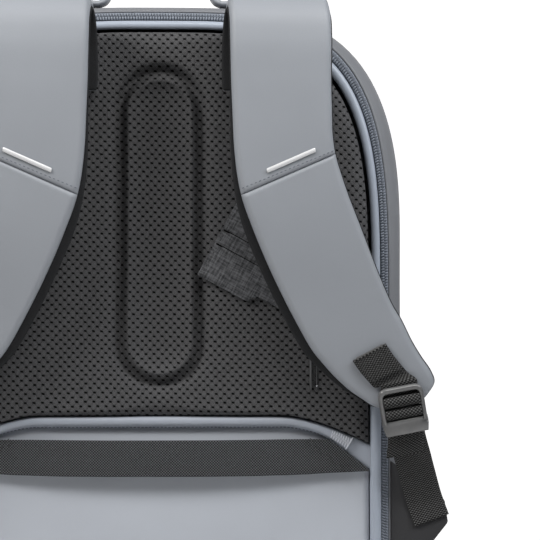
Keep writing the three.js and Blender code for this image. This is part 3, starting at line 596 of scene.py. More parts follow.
def film_finish():
    """Bead film: a fine honeycomb of cells, pale and even."""
    finish = Finish("reflective_film", (0.55, 0.555, 0.57), 0.35, Metallic=0.15, Coat_Weight=0.4)
    place = finish.coordinates()
    x, y, z = finish.split(place)
    cells = x.wave(1.0) + (x / 2 + z * 0.866).wave(1.0) + (z * 0.866 - x / 2).wave(1.0)
    beads = finish.noise(place, 0.3, 1.0)
    share = cells / 6 + 0.5
    finish.paint(finish.mix(share, (0.68, 0.685, 0.70), (0.82, 0.825, 0.84)), 0.3 + 0.15 * beads)
    finish.relief(share + 0.4 * beads, 0.03)
    return finish


# Black acetal whose base colour is raised to a mid grey: partly its own colour, partly painted sheen for its
# reflections.
buckle_plastic = moulded("buckle_plastic", (0.130, 0.130, 0.132), 0.38, depth=0.03, Coat_Weight=1.0)
# Painted highlight: a lighter copy of the black webbing, for the light caught by the webbing's rolled fold.
webbing_fold_painted_highlight = moulded("webbing_fold_painted_highlight", (0.060, 0.060, 0.060), 0.6, grain_size=0.8, depth=0.15)
slider_metal = moulded("slider_metal", (0.045, 0.046, 0.050), 0.3, Metallic=0.6)
coil_nylon = moulded("coil_nylon", (0.215, 0.238, 0.280), 0.45, 0.5)
dark_coil = moulded("dark_coil", (0.030, 0.031, 0.034), 0.4, 0.5)
zip_cloth = coated("zip_cloth", (0.190, 0.212, 0.250), 0.6, grain=0.12)
grey_thread = moulded("grey_thread", (0.620, 0.640, 0.690), 0.6, 0.3, 0.06)
shade_thread = moulded("shade_thread", (0.120, 0.130, 0.155), 0.6, 0.3, 0.06)
black_thread = moulded("black_thread", (0.022, 0.022, 0.023), 0.6, 0.3, 0.06)
reflective_film = film_finish()
print("finishes so far:", len(bpy.data.materials))


# %% Settling a piece
def settle(piece, finish, slot, *nodes):
    """Gives a piece its finish, and lets it ride on the bag in place of the named nodes. slot is not used."""
    piece.data.materials.append(finish.material)
    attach(piece, "root")
    if nodes:
        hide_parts(*nodes)
    faces = sum(p.loop_total - 2 for p in piece.data.polygons)
    print(f"{piece.name}: {faces} triangles")
    return piece


# %% [markdown]
# ## The bag's outline
# Seen from behind, the bag is a rounded rectangle whose top closes in a squarish arch. A superellipse
# draws that arch: its power of 3.55 is squarer than an ellipse's 2. The same outline, grown or shrunk,
# places the shell, the zip, the piping and the mesh panel.

# %% Outlines and rims
arch_steps, side_steps, corner_steps, base_steps = 110, 24, 10, 26


def arch(half, top, spring):
    """Superellipse arch by angle: each point lies where across**power + up**power is one."""
    angle = np.linspace(0, math.pi, arch_steps + 1)
    across, up = np.abs(np.cos(angle)) / half, np.abs(np.sin(angle)) / (top - spring)
    reach = (across**arch_power + up**arch_power) ** (-1 / arch_power)
    return points_of(reach * np.cos(angle), spring + reach * np.sin(angle))


def foot(half, base, corner, spring):
    """Left side, round lower corners, base and right side, from the arch's left end to its right."""
    turn = np.linspace(0, math.pi / 2, corner_steps + 1)
    curve_x, curve_z = corner * (1 - np.cos(turn)), corner * (1 - np.sin(turn))
    left = points_of(-half + curve_x, base + curve_z)
    right = left[::-1] * [-1, 1]
    fall = np.linspace(spring, base + corner, side_steps + 1)[1:-1]
    side = points_of(-half, fall)
    width = np.linspace(-half + corner, half - corner, base_steps + 1)[1:-1]
    level = points_of(width, base)
    return np.vstack([side, left, level, right, side[::-1] * [-1, 1]])


def outline(half, top, base, corner, spring):
    return np.vstack([arch(half, top, spring), foot(half, base, corner, spring)])


def rim(offset):
    """Outline at a distance outside the piping's line, or inside it where the distance is negative."""
    return outline(piping_half + offset, piping_top + offset, piping_foot - offset,
                   base_corner + offset, shoulder_line)


def at_depth(flat, y):
    """Points of an outline in the XZ plane, moved to depth y."""
    return points_of(flat[:, 0], y, flat[:, 1])


def closed_rim(offset, count):
    """Even points round a closed rim, with the last one a step before the first."""
    flat = rim(offset)
    return spaced(np.vstack([flat, flat[:1]]), count=count + 1)[:-1]


rim_path = rim(0.0)
rim_length = running(np.vstack([rim_path, rim_path[:1]]))[-1]
print(f"outline of {len(rim_path)} points, {rim_length:.0f} mm round")

# %% [markdown]
# ## Shell
# The shell is a padded pocket of cloth, open toward the wearer. Boards would give flat plates, so it
# is lofted instead: the outline swells from the narrow zipped edge to its full size, then closes
# over the front in a soft roll. A groove marks the seam of the front panel, and slow waves of a
# millimetre make it cloth.

# %% Sections of the shell
# Columns: share of depth, swell from rim to full outline, the same for the base, share of half
# width, share of height, lift of the base as a share of the height.
shell_rows = [
    (0.000, 0.00, 0.0, 1.000, 1.000, 0.000),
    (0.030, 0.38, 0.6, 1.000, 1.000, 0.000),
    (0.080, 0.72, 1.0, 1.000, 1.000, 0.000),
    (0.160, 0.95, 1.0, 1.000, 1.000, 0.000),
    (0.240, 1.00, 1.0, 1.000, 1.000, 0.000),
    (0.500, 1.00, 1.0, 0.997, 0.985, 0.000),
    (0.700, 1.00, 1.0, 0.985, 0.957, 0.000),
    (0.850, 1.00, 1.0, 0.955, 0.910, 0.004),
    (0.940, 1.00, 1.0, 0.895, 0.845, 0.020),
    (0.985, 1.00, 1.0, 0.800, 0.760, 0.060),
    (1.000, 1.00, 1.0, 0.620, 0.620, 0.130),
]
front_seam_row, front_seam_depth, front_seam_width = 7.7, 1.1, 0.035
front_dome, fold_rise = 2.2, 1.5
wave_low, wave_full = 3.0, 60.0


def shell_ring(place, inset, depth):
    """Outline at a place between the table's rows: inset by the wall, base too, where it is the inner
    skin, and with an inset of 0 drawn in only at the front seam."""
    share, swell, drop, side, top, lift = smooth_rows(shell_rows, place)
    swell, drop, lift = min(swell, 1.0), min(drop, 1.0), max(lift, 0.0)
    floor = inset
    if inset == 0:
        inset = front_seam_depth * math.exp(-((place - front_seam_row) / front_seam_width) ** 2)
    flat = outline(
        lerp(piping_half + rim_reach, half_width, swell) * side - inset,
        lerp(piping_top + rim_reach, bag_height, swell) * top - inset,
        lerp(piping_foot - rim_reach, 0.0, drop) + lift * bag_height + floor,
        lerp(base_corner + rim_reach, base_corner, swell) * side - inset,
        shoulder_line * top,
    )
    return at_depth(flat, open_side + share * depth)


def shell_piece():
    """Inner skin, folded rim, outer skin and a domed front, with slow waves on the outside."""
    places = np.unique(np.concatenate([
        np.linspace(0, 3, 22), np.linspace(3, 10, 50), front_seam_row + np.linspace(-0.12, 0.12, 9)]))
    outside = np.stack([shell_ring(place, 0.0, bag_depth) for place in places])
    inside = np.stack([shell_ring(place, shell_wall, bag_depth - shell_wall)
                       for place in np.linspace(10, 0, 21)])
    middle = outside[-1].mean(0)
    closing = np.linspace(1, 0.04, 18)[1:, None, None]
    front = middle + (outside[-1] - middle) * closing
    front[..., 1] = front_side + front_dome * (1 - closing[..., 0] ** 2)
    curl = np.linspace(math.pi, 0, 9)[1:-1]
    fold = np.stack([at_depth(rim(rim_reach - fold_width / 2 * (1 - math.cos(a))),
                              open_side - fold_rise * math.sin(a)) for a in curl])
    for skin in (outside[6:], front):
        x, y, z = skin[..., 0], skin[..., 1], skin[..., 2]
        wave = 0.7 * np.sin(x / 47 + y / 31) * np.sin(z / 58 + 0.7) + 0.35 * np.sin(z / 23 + y / 40)
        wave *= ease(z, wave_low, wave_full)
        out = unit(points_of(x, 0.0, z - 0.5 * bag_height))
        skin += out * wave[..., None] * ease(y, open_side + 8, open_side + 30)[..., None]
    return sweep("bag_shell", np.concatenate([inside, fold, outside, front]))


settle(shell_piece(), shell_cloth, "shell_cloth", "shell")

# %% [markdown]
# ## Zip tape, coil and slider
# The main zip runs all the way round, flat against the shell's folded edge. Its tape is woven cloth,
# and on it lies a nylon coil: two rows of loops that mesh half a step apart. Each loop shows as a
# short bar across the row, so a bar is copied along the rim about 1,500 times.

# %% Zip tape and teeth
tooth_pitch, tooth_length, tooth_radius = 1.85, 2.35, 0.62
coil_middle = 0.5 * (zip_inner + zip_outer)


def zip_tape():
    profile = [(zip_inner, zip_back), (zip_outer, zip_back), (zip_outer, zip_front + 0.5),
               (coil_middle, zip_front + 0.3), (zip_inner, zip_front + 0.5)]
    sections = np.stack([at_depth(rim(offset), y) for offset, y in profile], axis=1)
    return hoop("zip_tape", sections)


def zip_teeth():
    """Two rows of bars, inside and outside the coil's middle, half a step apart and leaning forward."""
    count = int(rim_length / tooth_pitch)
    starts, ends = [], []
    for shift, near, far in ((0.0, -tooth_length, 0.0), (0.5, 0.0, tooth_length)):
        for made, offset, step in ((starts, near, shift), (ends, far, shift + 0.25)):
            flat = closed_rim(coil_middle + offset, count)
            made.append(at_depth(lerp(flat, np.roll(flat, -1, axis=0), step), zip_front))
    return capsules("zip_teeth", np.vstack(starts), np.vstack(ends), tooth_radius, 0.9)


settle(zip_tape(), zip_cloth, "zip_coil", "main_zip")
settle(zip_teeth(), coil_nylon, "zip_coil")


# %% Plates and joined pieces
def outlined(flat, back, front, edge, steps=4):
    """Sections of a plate from an outline in the XZ plane, with its edges rounded: near each face the
    outline draws in toward its middle by up to edge, along a quarter circle."""
    middle = flat.mean(0)
    reach = np.linalg.norm(flat - middle, axis=1, keepdims=True)
    turn = np.linspace(0, math.pi / 2, steps)
    toward = 1 if front > back else -1
    levels = [(edge * (1 - math.sin(a)), back + toward * edge * (1 - math.cos(a))) for a in turn]
    levels += [(inset, front + back - y) for inset, y in reversed(levels)]
    return np.stack([at_depth(middle + (flat - middle) * (1 - inset / reach), y) for inset, y in levels])


def join(name, *pieces):
    """Several meshes made into one piece."""
    with bpy.context.temp_override(active_object=pieces[0], selected_editable_objects=list(pieces)):
        bpy.ops.object.join()
    pieces[0].name = pieces[0].data.name = name
    return pieces[0]


# %% Slider with its pull
def slider_piece():
    """Hexagonal body with a bridge over it and a slim pull that hangs from the bridge."""
    low, high = node_box("main_zip_slider")
    x, width = (low[0] + high[0]) / 2, high[0] - low[0]
    length, pull = 12.0, 20.0
    z = low[2] + pull
    half = width / 2
    hexagon = np.array([(half, 0), (half, 9), (half / 2, length), (-half / 2, length), (-half, 9),
                        (-half, 0), (-half * 0.7, -0.6), (half * 0.7, -0.6)])
    tongue = np.array([(1.5, 4), (-1.5, 4), (-1.9, -2), (-1.7, -pull), (1.7, -pull), (1.9, -2)])
    body = sweep("body", outlined(hexagon + (x, z), high[1], high[1] - 1.8, 0.35))
    pull_bar = sweep("pull", outlined(tongue + (x, z), high[1] - 2.3, low[1], 0.3))
    bridge = capsules("bridge", (x, high[1] - 2.0, z + 1.5), (x, high[1] - 2.0, z + 9.5), 0.9, 0.8)
    return join("zip_slider", body, pull_bar, bridge)


settle(slider_piece(), slider_metal, "zip_metal", "main_zip_slider")

# %% [markdown]
# ## Piping
# A cord inside a folded strip of cloth stiffens the panel's edge. It is a tube round the rim. Low
# down, where the panel presses against the zip, the strip bulges to a wider roll.

# %% Piping round the panel
piping_slim, piping_full = 2.9, 3.9
bulge_foot, bulge_top = 175, 285
piping_sides, piping_steps = 18, 520


def piping_piece():
    """Circle carried round the rim. Its radius grows from slim to full below the shoulder line."""
    flat = closed_rim(0.0, piping_steps)
    radius = lerp(piping_full, piping_slim, ease(flat[:, 1], bulge_foot, bulge_top))
    extra = radius - piping_slim
    rings = []
    for a in round_angles(piping_sides):
        offset = radius * math.cos(a) - extra * 0.5
        x = flat[:, 0] * (1 + offset / piping_half)
        z = shoulder_line + (flat[:, 1] - shoulder_line) * (1 + offset / (piping_top - shoulder_line))
        rings.append(points_of(x, piping_y + radius * math.sin(a) - extra, z))
    return hoop("piping_roll", np.stack(rings, axis=1))


settle(piping_piece(), piping_cloth, "piping", "edge_piping")

# %% [markdown]
# ## Mesh back panel
# The panel is foam under air mesh, pressed into a long round-topped channel so that air can pass.
# Rings run from the channel's spine out to the panel's edge, so the pressed groove, the raised rim
# and the trough inside it are one smooth table of heights along each ring's distance.

# %% Arched seam under the mesh panel
binding_top = node_box("arch_binding")[1][2]
binding_flat, binding_fall = 84.0, 22.0
binding_height, binding_flare = 7.4, 9.4


def seam_high(x):
    """Height of the arched seam: level in the middle, then falling by a power of the way out."""
    past = np.maximum(0, np.abs(x) - binding_flat) / (piping_half - binding_flat)
    return binding_top - binding_fall * past**1.6


def seam_low(x):
    """Lower edge of the binding, which flares toward its ends."""
    start = lerp(binding_flat, piping_half, 0.32)
    return seam_high(x) - binding_height - binding_flare * ease(np.abs(x), start, piping_half)


# %% Mesh panel with its air channel
channel_half, channel_top, channel_foot, channel_relief = 28.0, 419.0, 206.0, 7.6
roll_width, roll_share = 13.0, 0.85
# Columns: distance from the channel's spine as a share of its half width, rise as a share of relief.
channel_rows = [
    (0.02, -0.78), (0.2, -0.75), (0.4, -0.62), (0.55, -0.42), (0.66, -0.14), (0.72, 0.03), (0.78, 0.0),
    (0.84, -0.34), (0.9, -0.8), (0.96, -1.0), (1.03, -0.86), (1.11, -0.45), (1.2, -0.12), (1.36, 0.0),
]
panel_side_steps, panel_foot_steps = 46, 96
seam_places = -panel_half * np.cos(np.linspace(0, math.pi, panel_foot_steps + 1))


def channel_ring(reach):
    """Line at one distance from the channel's upright spine: two half circles and two straights."""
    high, low = channel_top - channel_half, channel_foot + channel_half
    over = np.linspace(0, math.pi, arch_steps + 1)
    under = np.linspace(math.pi, 2 * math.pi, panel_foot_steps + 1)
    fall = np.linspace(high, low, panel_side_steps + 1)[1:-1]
    return np.vstack([
        points_of(reach * np.cos(over), high + reach * np.sin(over)),
        points_of(-reach, fall),
        points_of(reach * np.cos(under), low + reach * np.sin(under)),
        points_of(reach, fall[::-1]),
    ])


def panel_ring():
    """Edge of the mesh panel, point for point beside the channel's rings."""
    line = rim(panel_edge)[:arch_steps + 1]
    end = seam_high(panel_half) + gap
    fall = np.linspace(shoulder_line, end, panel_side_steps + 1)[1:-1]
    return np.vstack([
        line,
        points_of(-panel_half, fall),
        points_of(seam_places, seam_high(seam_places) + gap),
        points_of(panel_half, fall[::-1]),
    ])


def mesh_panel():
    """Rings of the channel, then rings that reach the panel's edge and roll down to it, and a back."""
    table = np.array(channel_rows)
    rows = smooth_rows(table, np.linspace(0, len(table) - 1, 64))
    rings = [at_depth(channel_ring(reach * channel_half), panel_front - rise * channel_relief)
             for reach, rise in rows]
    inner, edge = channel_ring(table[-1, 0] * channel_half), panel_ring()
    way = np.linalg.norm(edge - inner, axis=1)
    roll = np.minimum(roll_width, roll_share * way)
    for toward in 1 - np.linspace(1, 0, 44)[1:] ** 1.6:
        left = np.clip((1 - toward) * way / roll, 0, 1)
        drop = edge_roll * (1 - np.sqrt(1 - (1 - left) ** 2))
        rings.append(at_depth(lerp(inner, edge, toward), panel_front + drop))
    middle = np.array([0, panel_back, 300.0])
    back = at_depth(edge, panel_back)
    rings += [back, middle + (back - middle) * 0.5]
    return sweep("mesh_panel", np.stack(rings))


panel = settle(mesh_panel(), air_mesh, "air_mesh", "back_mesh_panel")

# %% [markdown]
# ## Lower panel and the bound seam
# Below the seam the panel is coated cloth over thin foam, a shallow pillow. The seam itself is bound
# with a folded strip. A dense zigzag of thread tacks the strip near each end, and past the tack it
# runs on as a plain flat band to the piping.

# %% Lower panel
lower_bulge = 3.0


def lower_panel():
    """Rings about the panel's middle; the pillow rises by one minus the cube of the share."""
    line = foot(piping_half + panel_edge, piping_foot - panel_edge, base_corner + panel_edge, shoulder_line)
    seam_end = seam_low(panel_half) - gap
    line = line[line[:, 1] < seam_end - 1]
    across = np.linspace(panel_half, -panel_half, 61)
    edge = np.vstack([line, points_of(across, seam_low(across) - gap)])
    middle = np.array([0, (piping_foot + binding_top) / 2])
    front = panel_front + edge_roll
    shares = np.linspace(0.02, 1, 30)
    rings = [at_depth(lerp(middle, edge, s), front - lower_bulge * (1 - s**3)) for s in shares]
    rings.append(at_depth(edge, panel_back))
    return sweep("lower_panel", np.stack(rings))


# The lower panel's finish is brighter than the straps' cloth only as painted light.
pillow = settle(lower_panel(), painted_light_lower_cloth, "coated_cloth", "lower_back_panel")

# %% Binding with its plain ends
tack_start, tack_top, tack_foot = 115.0, (131.5, 168.6), (125.4, 158.6)
binding_proud = 5.0
zigzag_turns = 17


def past_tack(x, z):
    """How far a point lies outside the tack's end line, in millimetres."""
    (x1, z1), (x2, z2) = tack_top, tack_foot
    length = math.hypot(x1 - x2, z1 - z2)
    return ((np.abs(x) - x2) * (z1 - z2) - (z - z2) * (x1 - x2)) / length


def on_binding(x, share, lift=0.0):
    """Point of the binding's face. share runs from its lower edge, 0, to its upper one, 1."""
    z = lerp(seam_low(x), seam_high(x), share)
    crown = (1 - np.abs(2 * share - 1) ** 2.6) ** 0.7
    flat = ease(past_tack(x, z), -0.4, 0.8)
    proud = lerp(0.3 + 0.7 * crown, 0.28 + 0.2 * crown, flat)
    return points_of(x, panel_front + edge_roll - binding_proud * proud - lift, z)


def binding_piece():
    """Crowned face and flat back, with points closer together toward the ends, where the seam falls."""
    reach, dense = piping_half - piping_radius - gap, 90
    outer = np.linspace(dense, reach, 90)
    x = np.concatenate([-outer[::-1], np.linspace(-dense, dense, 60)[1:-1], outer])
    face = on_binding(x[:, None], np.linspace(0, 1, 15))
    back = [points_of(x, panel_back, edge(x))[:, None] for edge in (seam_high, seam_low)]
    return sweep("bound_seam", np.concatenate([face, *back], axis=1))


settle(binding_piece(), binding_cloth, "binding", "arch_binding")


# %% Thread of the binding
def binding_threads():
    """Zigzag across the strip near each end and, where it stops, a line straight across."""
    made = []
    for side in (-1, 1):
        turn = np.linspace(0, zigzag_turns - 1, 5 * (zigzag_turns - 1) + 1)
        up = np.abs(turn % 2 - 1)
        x = lerp(tack_start, tack_foot[0] + 2.0, turn / (zigzag_turns - 1)) + 2.6 * up
        line = on_binding(x, lerp(0.16, 0.86, up), 0.2)
        line[:, 0] *= side
        made.append(capsules("zigzag", line[:-1], line[1:], 0.26, 0.9))
        share = np.linspace(0.04, 0.96, 9)
        x = lerp(tack_foot[0], tack_top[0], share)
        line = on_binding(x, share, 0.25)
        line[:, 0] *= side
        made.append(capsules("end_line", line[:-1], line[1:], 0.36, 0.8))
    return join("binding_thread", *made)


def edge_stitches():
    """Row of stitches under the strip's lower edge."""
    x = np.linspace(-tack_foot[0], tack_foot[0], 300)
    path = on_binding(x, 0.05, 0.5)
    path[:, 2] -= 0.5
    return stitches("binding_edge_stitches", path, 2.6, 1.7, 0.3)


settle(binding_threads(), grey_thread, "binding")
settle(edge_stitches(), shade_thread, "binding")

# %% [markdown]
# ## Suitcase strap
# A wide flat webbing crosses the lower panel and slips over a suitcase's handle. It stands off the
# panel in its middle, and near each side it is folded under along a slanting line of stitches.

# %% Suitcase strap
luggage_width = 24.5
luggage_high = binding_top - 16.0
luggage_low = luggage_high - luggage_width
luggage_thickness, luggage_bow = 1.6, 6.5
fold_roll, fold_fade = 0.9, 3.0
luggage_back = panel_front + edge_roll - lower_bulge - gap
luggage_reach = panel_half - gap
# Columns: share of half length, upper edge and lower edge as shares of the strap's width, bow.
luggage_rows = np.array([
    (0.00, 1.00, 0.00, 1.00), (0.25, 1.00, 0.00, 0.95), (0.45, 1.01, 0.01, 0.80),
    (0.60, 1.02, 0.03, 0.58), (0.71, 1.02, 0.05, 0.38), (0.80, 1.02, 0.08, 0.22),
    (0.88, 1.02, 0.10, 0.10), (0.94, 1.02, 0.11, 0.04), (1.00, 1.02, 0.12, 0.00),
])
fold_top, fold_foot = (100.8, 169.0), (127.5, 148.5)


def past_fold(x, z):
    """How far a point of the strap lies outside its slanting fold line, in millimetres."""
    (x1, z1), (x2, z2) = fold_top, fold_foot
    return ((np.abs(x) - x1) * (z1 - z2) + (z - z1) * (x2 - x1)) / math.hypot(x2 - x1, z1 - z2)


def on_luggage(x, share, front=True, lift=0.0):
    """Point of the strap. share runs up its width. Outside the fold line its face steps back, and
    inside that line it swells a little where the webbing turns under."""
    outer = np.abs(x) / luggage_reach
    high, low, bow = (np.interp(outer, luggage_rows[:, 0], luggage_rows[:, k]) for k in (1, 2, 3))
    top = np.minimum(lerp(luggage_low, luggage_high, high), seam_low(x) - gap)
    z = lerp(lerp(luggage_low, luggage_high, low), top, share)
    fold = past_fold(x, z)
    depth = luggage_thickness * (0.55 + 0.45 * ease(fold, 0.35, -0.35)) if front else 0.0
    roll = fold_roll * np.exp(-np.maximum(0, -fold) / fold_fade) * ease(fold, 0.3, -0.3) if front else 0.0
    return points_of(x, luggage_back - bow * luggage_bow - depth - roll - lift, z)


def luggage_piece():
    x = luggage_reach * np.sin(np.linspace(-1, 1, 241) * math.pi / 2)
    share = np.linspace(0, 1, 25)
    face = on_luggage(x[:, None], share[None, :])
    back = on_luggage(x[:, None], share[None, ::-1], front=False)
    sections = np.concatenate([face, back], axis=1)
    return sweep("suitcase_strap", sections, sections[..., [2, 0]])


def luggage_threads():
    """Two rows of stitches along the fold line and a short bar of thread at its upper end."""
    inward = (0.61, 0.79)
    made = []
    for side in (-1, 1):
        # Distance inside the fold line, pitch of the stitches and how far down the line they run.
        for inset, pitch, stop in ((1.2, 2.4, 0.97), (3.0, 2.4, 0.97), (-0.6, 0.9, 0.12)):
            along = np.linspace(0.03, stop, 24)
            x, z = (lerp(fold_top[k], fold_foot[k], along) - inset * inward[k] for k in (0, 1))
            bow = np.interp(x / luggage_reach, luggage_rows[:, 0], luggage_rows[:, 3])
            proud = luggage_thickness + fold_roll * math.exp(-max(inset, 0) / fold_fade) + 0.12
            path = points_of(side * x, luggage_back - bow * luggage_bow - proud, z)
            made.append(stitches("fold_line", path, pitch, 1.5, 0.24))
    return join("suitcase_strap_thread", *made)


settle(luggage_piece(), suitcase_webbing, "luggage_webbing", "luggage_strap")
settle(luggage_threads(), black_thread, "luggage_webbing")

# %% [markdown]
# ## Card pocket and the small zip
# Three layers of melange cloth, each set lower than the last, give two slots for cards. Beside them
# an upright zip closes a hidden pocket: a welt on each side, a dark coil between, and pale tacks.

# %% Card pocket
card_wide, card_long, card_tilt = 55.8, 84.0, math.radians(28.6)
card_layer, card_x, card_z = 0.9, 52.0, 329.0
card_step = card_wide * (1 - 0.113)
card_back = panel_front - gap
# Where the two slots lie, as shares of the pocket's width from its upper edge.
slot_shares = (0.37, 0.56)


def on_card(points):
    """From the pocket's own frame, turned clockwise by its tilt, to the bag's."""
    x, y, z = points[..., 0], points[..., 1], points[..., 2]
    cos, sin = math.cos(card_tilt), math.sin(card_tilt)
    return points_of(card_x + x * cos + z * sin, card_back + y, card_z - x * sin + z * cos)


def card_layer_piece(start, level):
    """One layer from its upper edge, at a share of the width, to the notched lower one. Away from the
    sewn left edge the upper edge of a slot gapes a little."""
    top = -card_wide * start
    flat = spaced(np.array([
        (0, top), (0, -card_wide), (card_long * 0.45, -card_wide), (card_long * 0.51, -card_step),
        (card_long, -card_step), (card_long, top), (0, top)]), 2.0)[:-1]
    sections = outlined(flat, -card_layer * level, -card_layer * (level + 1), 0.35)
    below_edge = top - sections[..., 2]
    open_part = ease(sections[..., 0], 2.5, 9.0) * (start > 0)
    sections[..., 1] -= 1.1 * np.exp(-np.maximum(below_edge, 0) / 5.0) * open_part
    return sweep("layer", on_card(sections), sections[..., [0, 2]])


def card_pocket():
    layers = [card_layer_piece(start, level) for level, start in enumerate((0.0, *slot_shares))]
    return join("card_pocket_layers", *layers)


def card_threads():
    """Stitches down the pocket's left edge, on whichever layer lies on top there."""
    inset = 2.6
    z = -np.linspace(1.5, card_wide - 1.5, 60)
    level = 1 + sum(-z / card_wide > share for share in slot_shares)
    path = points_of(inset, -card_layer * level - 0.04, z)
    return stitches("card_pocket_thread", on_card(path), 3.3, 1.3, 0.36)


def painted_slot_shadows():
    """Painted shadow in the two card slots: near-black bars along the slots, across the pocket from its left
    side.
    """
    made = []
    for level, share, reach in zip((2, 3), slot_shares, (38.0, 54.0)):
        x = np.linspace(1.2, reach, 24)
        edge = on_card(points_of(x, -card_layer * level - 0.25, -share * card_wide))
        made.append(capsules("slot", edge[:-1], edge[1:], 0.55, 0.7))
    return join("card_slot_shadow_bars", *made)


settle(card_pocket(), melange_cloth, "melange_cloth", "card_pocket")
# Painted shadow: a near-black finish for the bars in the card slots.
slot_shadow = moulded("slot_shadow", (0.003, 0.003, 0.003), 0.9, Specular_IOR_Level=0.1)
settle(painted_slot_shadows(), slot_shadow, "melange_cloth")
settle(card_threads(), black_thread, "melange_cloth")

# %% Upright pocket zip
pocket_low, pocket_high = node_box("pocket_zip")


def welt(x, radius, flat):
    """Upright roll of cloth as long as the zip, lying on the mesh."""
    y = pocket_high[1] - radius * flat
    return capsules("welt", (x, y, pocket_low[2]), (x, y, pocket_high[2]), radius, flat)


def pocket_teeth():
    """Two rows of short bars that mesh half a step apart."""
    pitch = 1.1
    z = np.arange(pocket_low[2] + 1.5, pocket_high[2] - 1, pitch)
    x = pocket_low[0] + 3.15
    rows = [points_of(x + side, pocket_high[1] - 0.7, z + shift)
            for side, shift in ((-1.1, 0.0), (0.05, 0.0), (-0.05, pitch / 2), (1.1, pitch / 2))]
    return capsules("pocket_coil", np.vstack([rows[0], rows[2]]), np.vstack([rows[1], rows[3]]), 0.36, 0.9)


def pocket_tacks():
    """Short pale bars of thread: two at the zip's upper end and one near its foot."""
    low, high, x = pocket_low[2], pocket_high[2], pocket_low[0]
    places = np.array([(x + 0.9, high - 0.7), (x + 3.0, high - 2.2), (x + 4.9, low + 2.6)])
    at = at_depth(places, pocket_low[1] + 0.1)
    return capsules("pocket_tacks", at - (0.55, 0, 0.25), at + (0.55, 0, 0.25), 0.38, 0.8)


welts = join("pocket_welts", welt(pocket_low[0] + 0.95, 0.95, 0.8), welt(pocket_high[0] - 0.4, 0.45, 1.0))
settle(welts, coated("welt_cloth", (0.085, 0.087, 0.092), 0.6), "zip_coil", "pocket_zip")
settle(pocket_teeth(), dark_coil, "zip_coil")
settle(pocket_tacks(), grey_thread, "zip_coil")

# %% [markdown]
# ## Ribbons
# Webbing and straps follow a line through a few stations. A centripetal Catmull-Rom curve keeps such a
# line from looping where stations stand close together, as they do round a buckle's bar.

# %% Lines and ribbons
def smooth_line(points, place):
    """Centripetal Catmull-Rom curve: its knots lie the square root of each chord apart."""
    points = np.asarray(points, float)
    place = np.clip(np.asarray(place, float), 0, len(points) - 1)
    low = np.minimum(place.astype(int), len(points) - 2)
    share = (place - low)[..., None]
    padded = np.vstack([2 * points[0] - points[1], points, 2 * points[-1] - points[-2]])
    a, b, c, d = (padded[low + k] for k in range(4))
    first, second, third = (np.sqrt(np.linalg.norm(q - p, axis=-1, keepdims=True))
                            for p, q in ((a, b), (b, c), (c, d)))
    leave = ((b - a) / first - (c - a) / (first + second) + (c - b) / second) * second
    reach = ((c - b) / second - (d - b) / (second + third) + (d - c) / third) * second
    return (b + leave * share + (3 * (c - b) - 2 * leave - reach) * share**2
            + (leave + reach - 2 * (c - b)) * share**3)


def squircle(count, across=0.5, out=0.5):
    """Section of a bar: a circle's cosine and sine, each raised to a power, squarer than round."""
    angle = round_angles(count)
    c, s = np.cos(angle), np.sin(angle)
    return np.sign(c) * np.abs(c) ** across, np.sign(s) * np.abs(s) ** out


def ribbon(name, stations, sides, width, thickness, steps=8, ends=0.7, bulk=None):
    """Webbing through stations. Its section is flat with rounded edges, and its ends thin out a little.
    bulk holds an extra thickness at each station, for webbing that bunches round a bar."""
    count = len(stations)
    place = np.linspace(0, count - 1, (count - 1) * steps + 1)
    at = smooth_line(stations, place)
    side = unit(smooth_rows(sides, place))
    along = unit(np.gradient(at, axis=0))
    face = unit(np.cross(along, side))
    run = running(at)
    edge = np.linspace(-math.pi / 2, math.pi / 2, 5)
    flat = np.linspace(-1, 1, 9)[1:-1] * (width / 2 - thickness / 2)
    round_edge = width / 2 - thickness / 2 * (1 - np.cos(edge))
    u = np.concatenate([round_edge, flat[::-1], -round_edge, flat])
    h = np.concatenate([np.sin(edge), np.ones(7), np.sin(edge[::-1]), -np.ones(7)]) * thickness / 2
    thin = lerp(ends, 1.0, ease(np.minimum(run, run[-1] - run), 0, 1.2))
    if bulk is not None:
        thin = thin + np.interp(place, np.arange(count), bulk) / thickness
    points = (at[:, None] + side[:, None] * u[None, :, None]
              + face[:, None] * (h[None, :] * thin[:, None])[..., None])
    return sweep(name, points, points_of(u, run[:, None]))


# %% [markdown]
# ## Carry handle
# The handle is a padded loop with flat sewn feet. Its middle is rolled thicker than its ends, and a
# row of stitches runs along each edge.

# %% Carry handle
handle_y = sum(corner[1] for corner in node_box("carry_handle")) / 2
handle_span, handle_rise, handle_width, handle_thickness, handle_foot = 84.0, 30.0, 22.0, 4.0, 16.0
handle_level = bag_height + gap
handle_row_inset = handle_width / 2 - 2.4
# Columns: across as a share of half the span, height as a share of the rise.
handle_rows = [
    (1.0 + 2 * handle_foot / handle_span, 0.0), (1.12, 0.0), (1.0, 0.0), (0.93, 0.06),
    (0.86, 0.28), (0.74, 0.6), (0.56, 0.86), (0.3, 0.98), (0.0, 1.0),
]
handle_end = 2 * (len(handle_rows) - 1)


def handle_line(place):
    """Points, and the directions that the face looks in, for places on the mirrored table."""
    half = np.array(handle_rows)
    both = np.vstack([half, half[-2::-1] * [-1, 1]])
    line = points_of(both[:, 0] * handle_span / 2, handle_y,
                     handle_level + handle_thickness / 2 + both[:, 1] * handle_rise)
    at = smooth_line(line, place)
    along = unit(np.gradient(at, axis=0))
    return at, np.cross(along, np.array([0.0, 1.0, 0.0]))


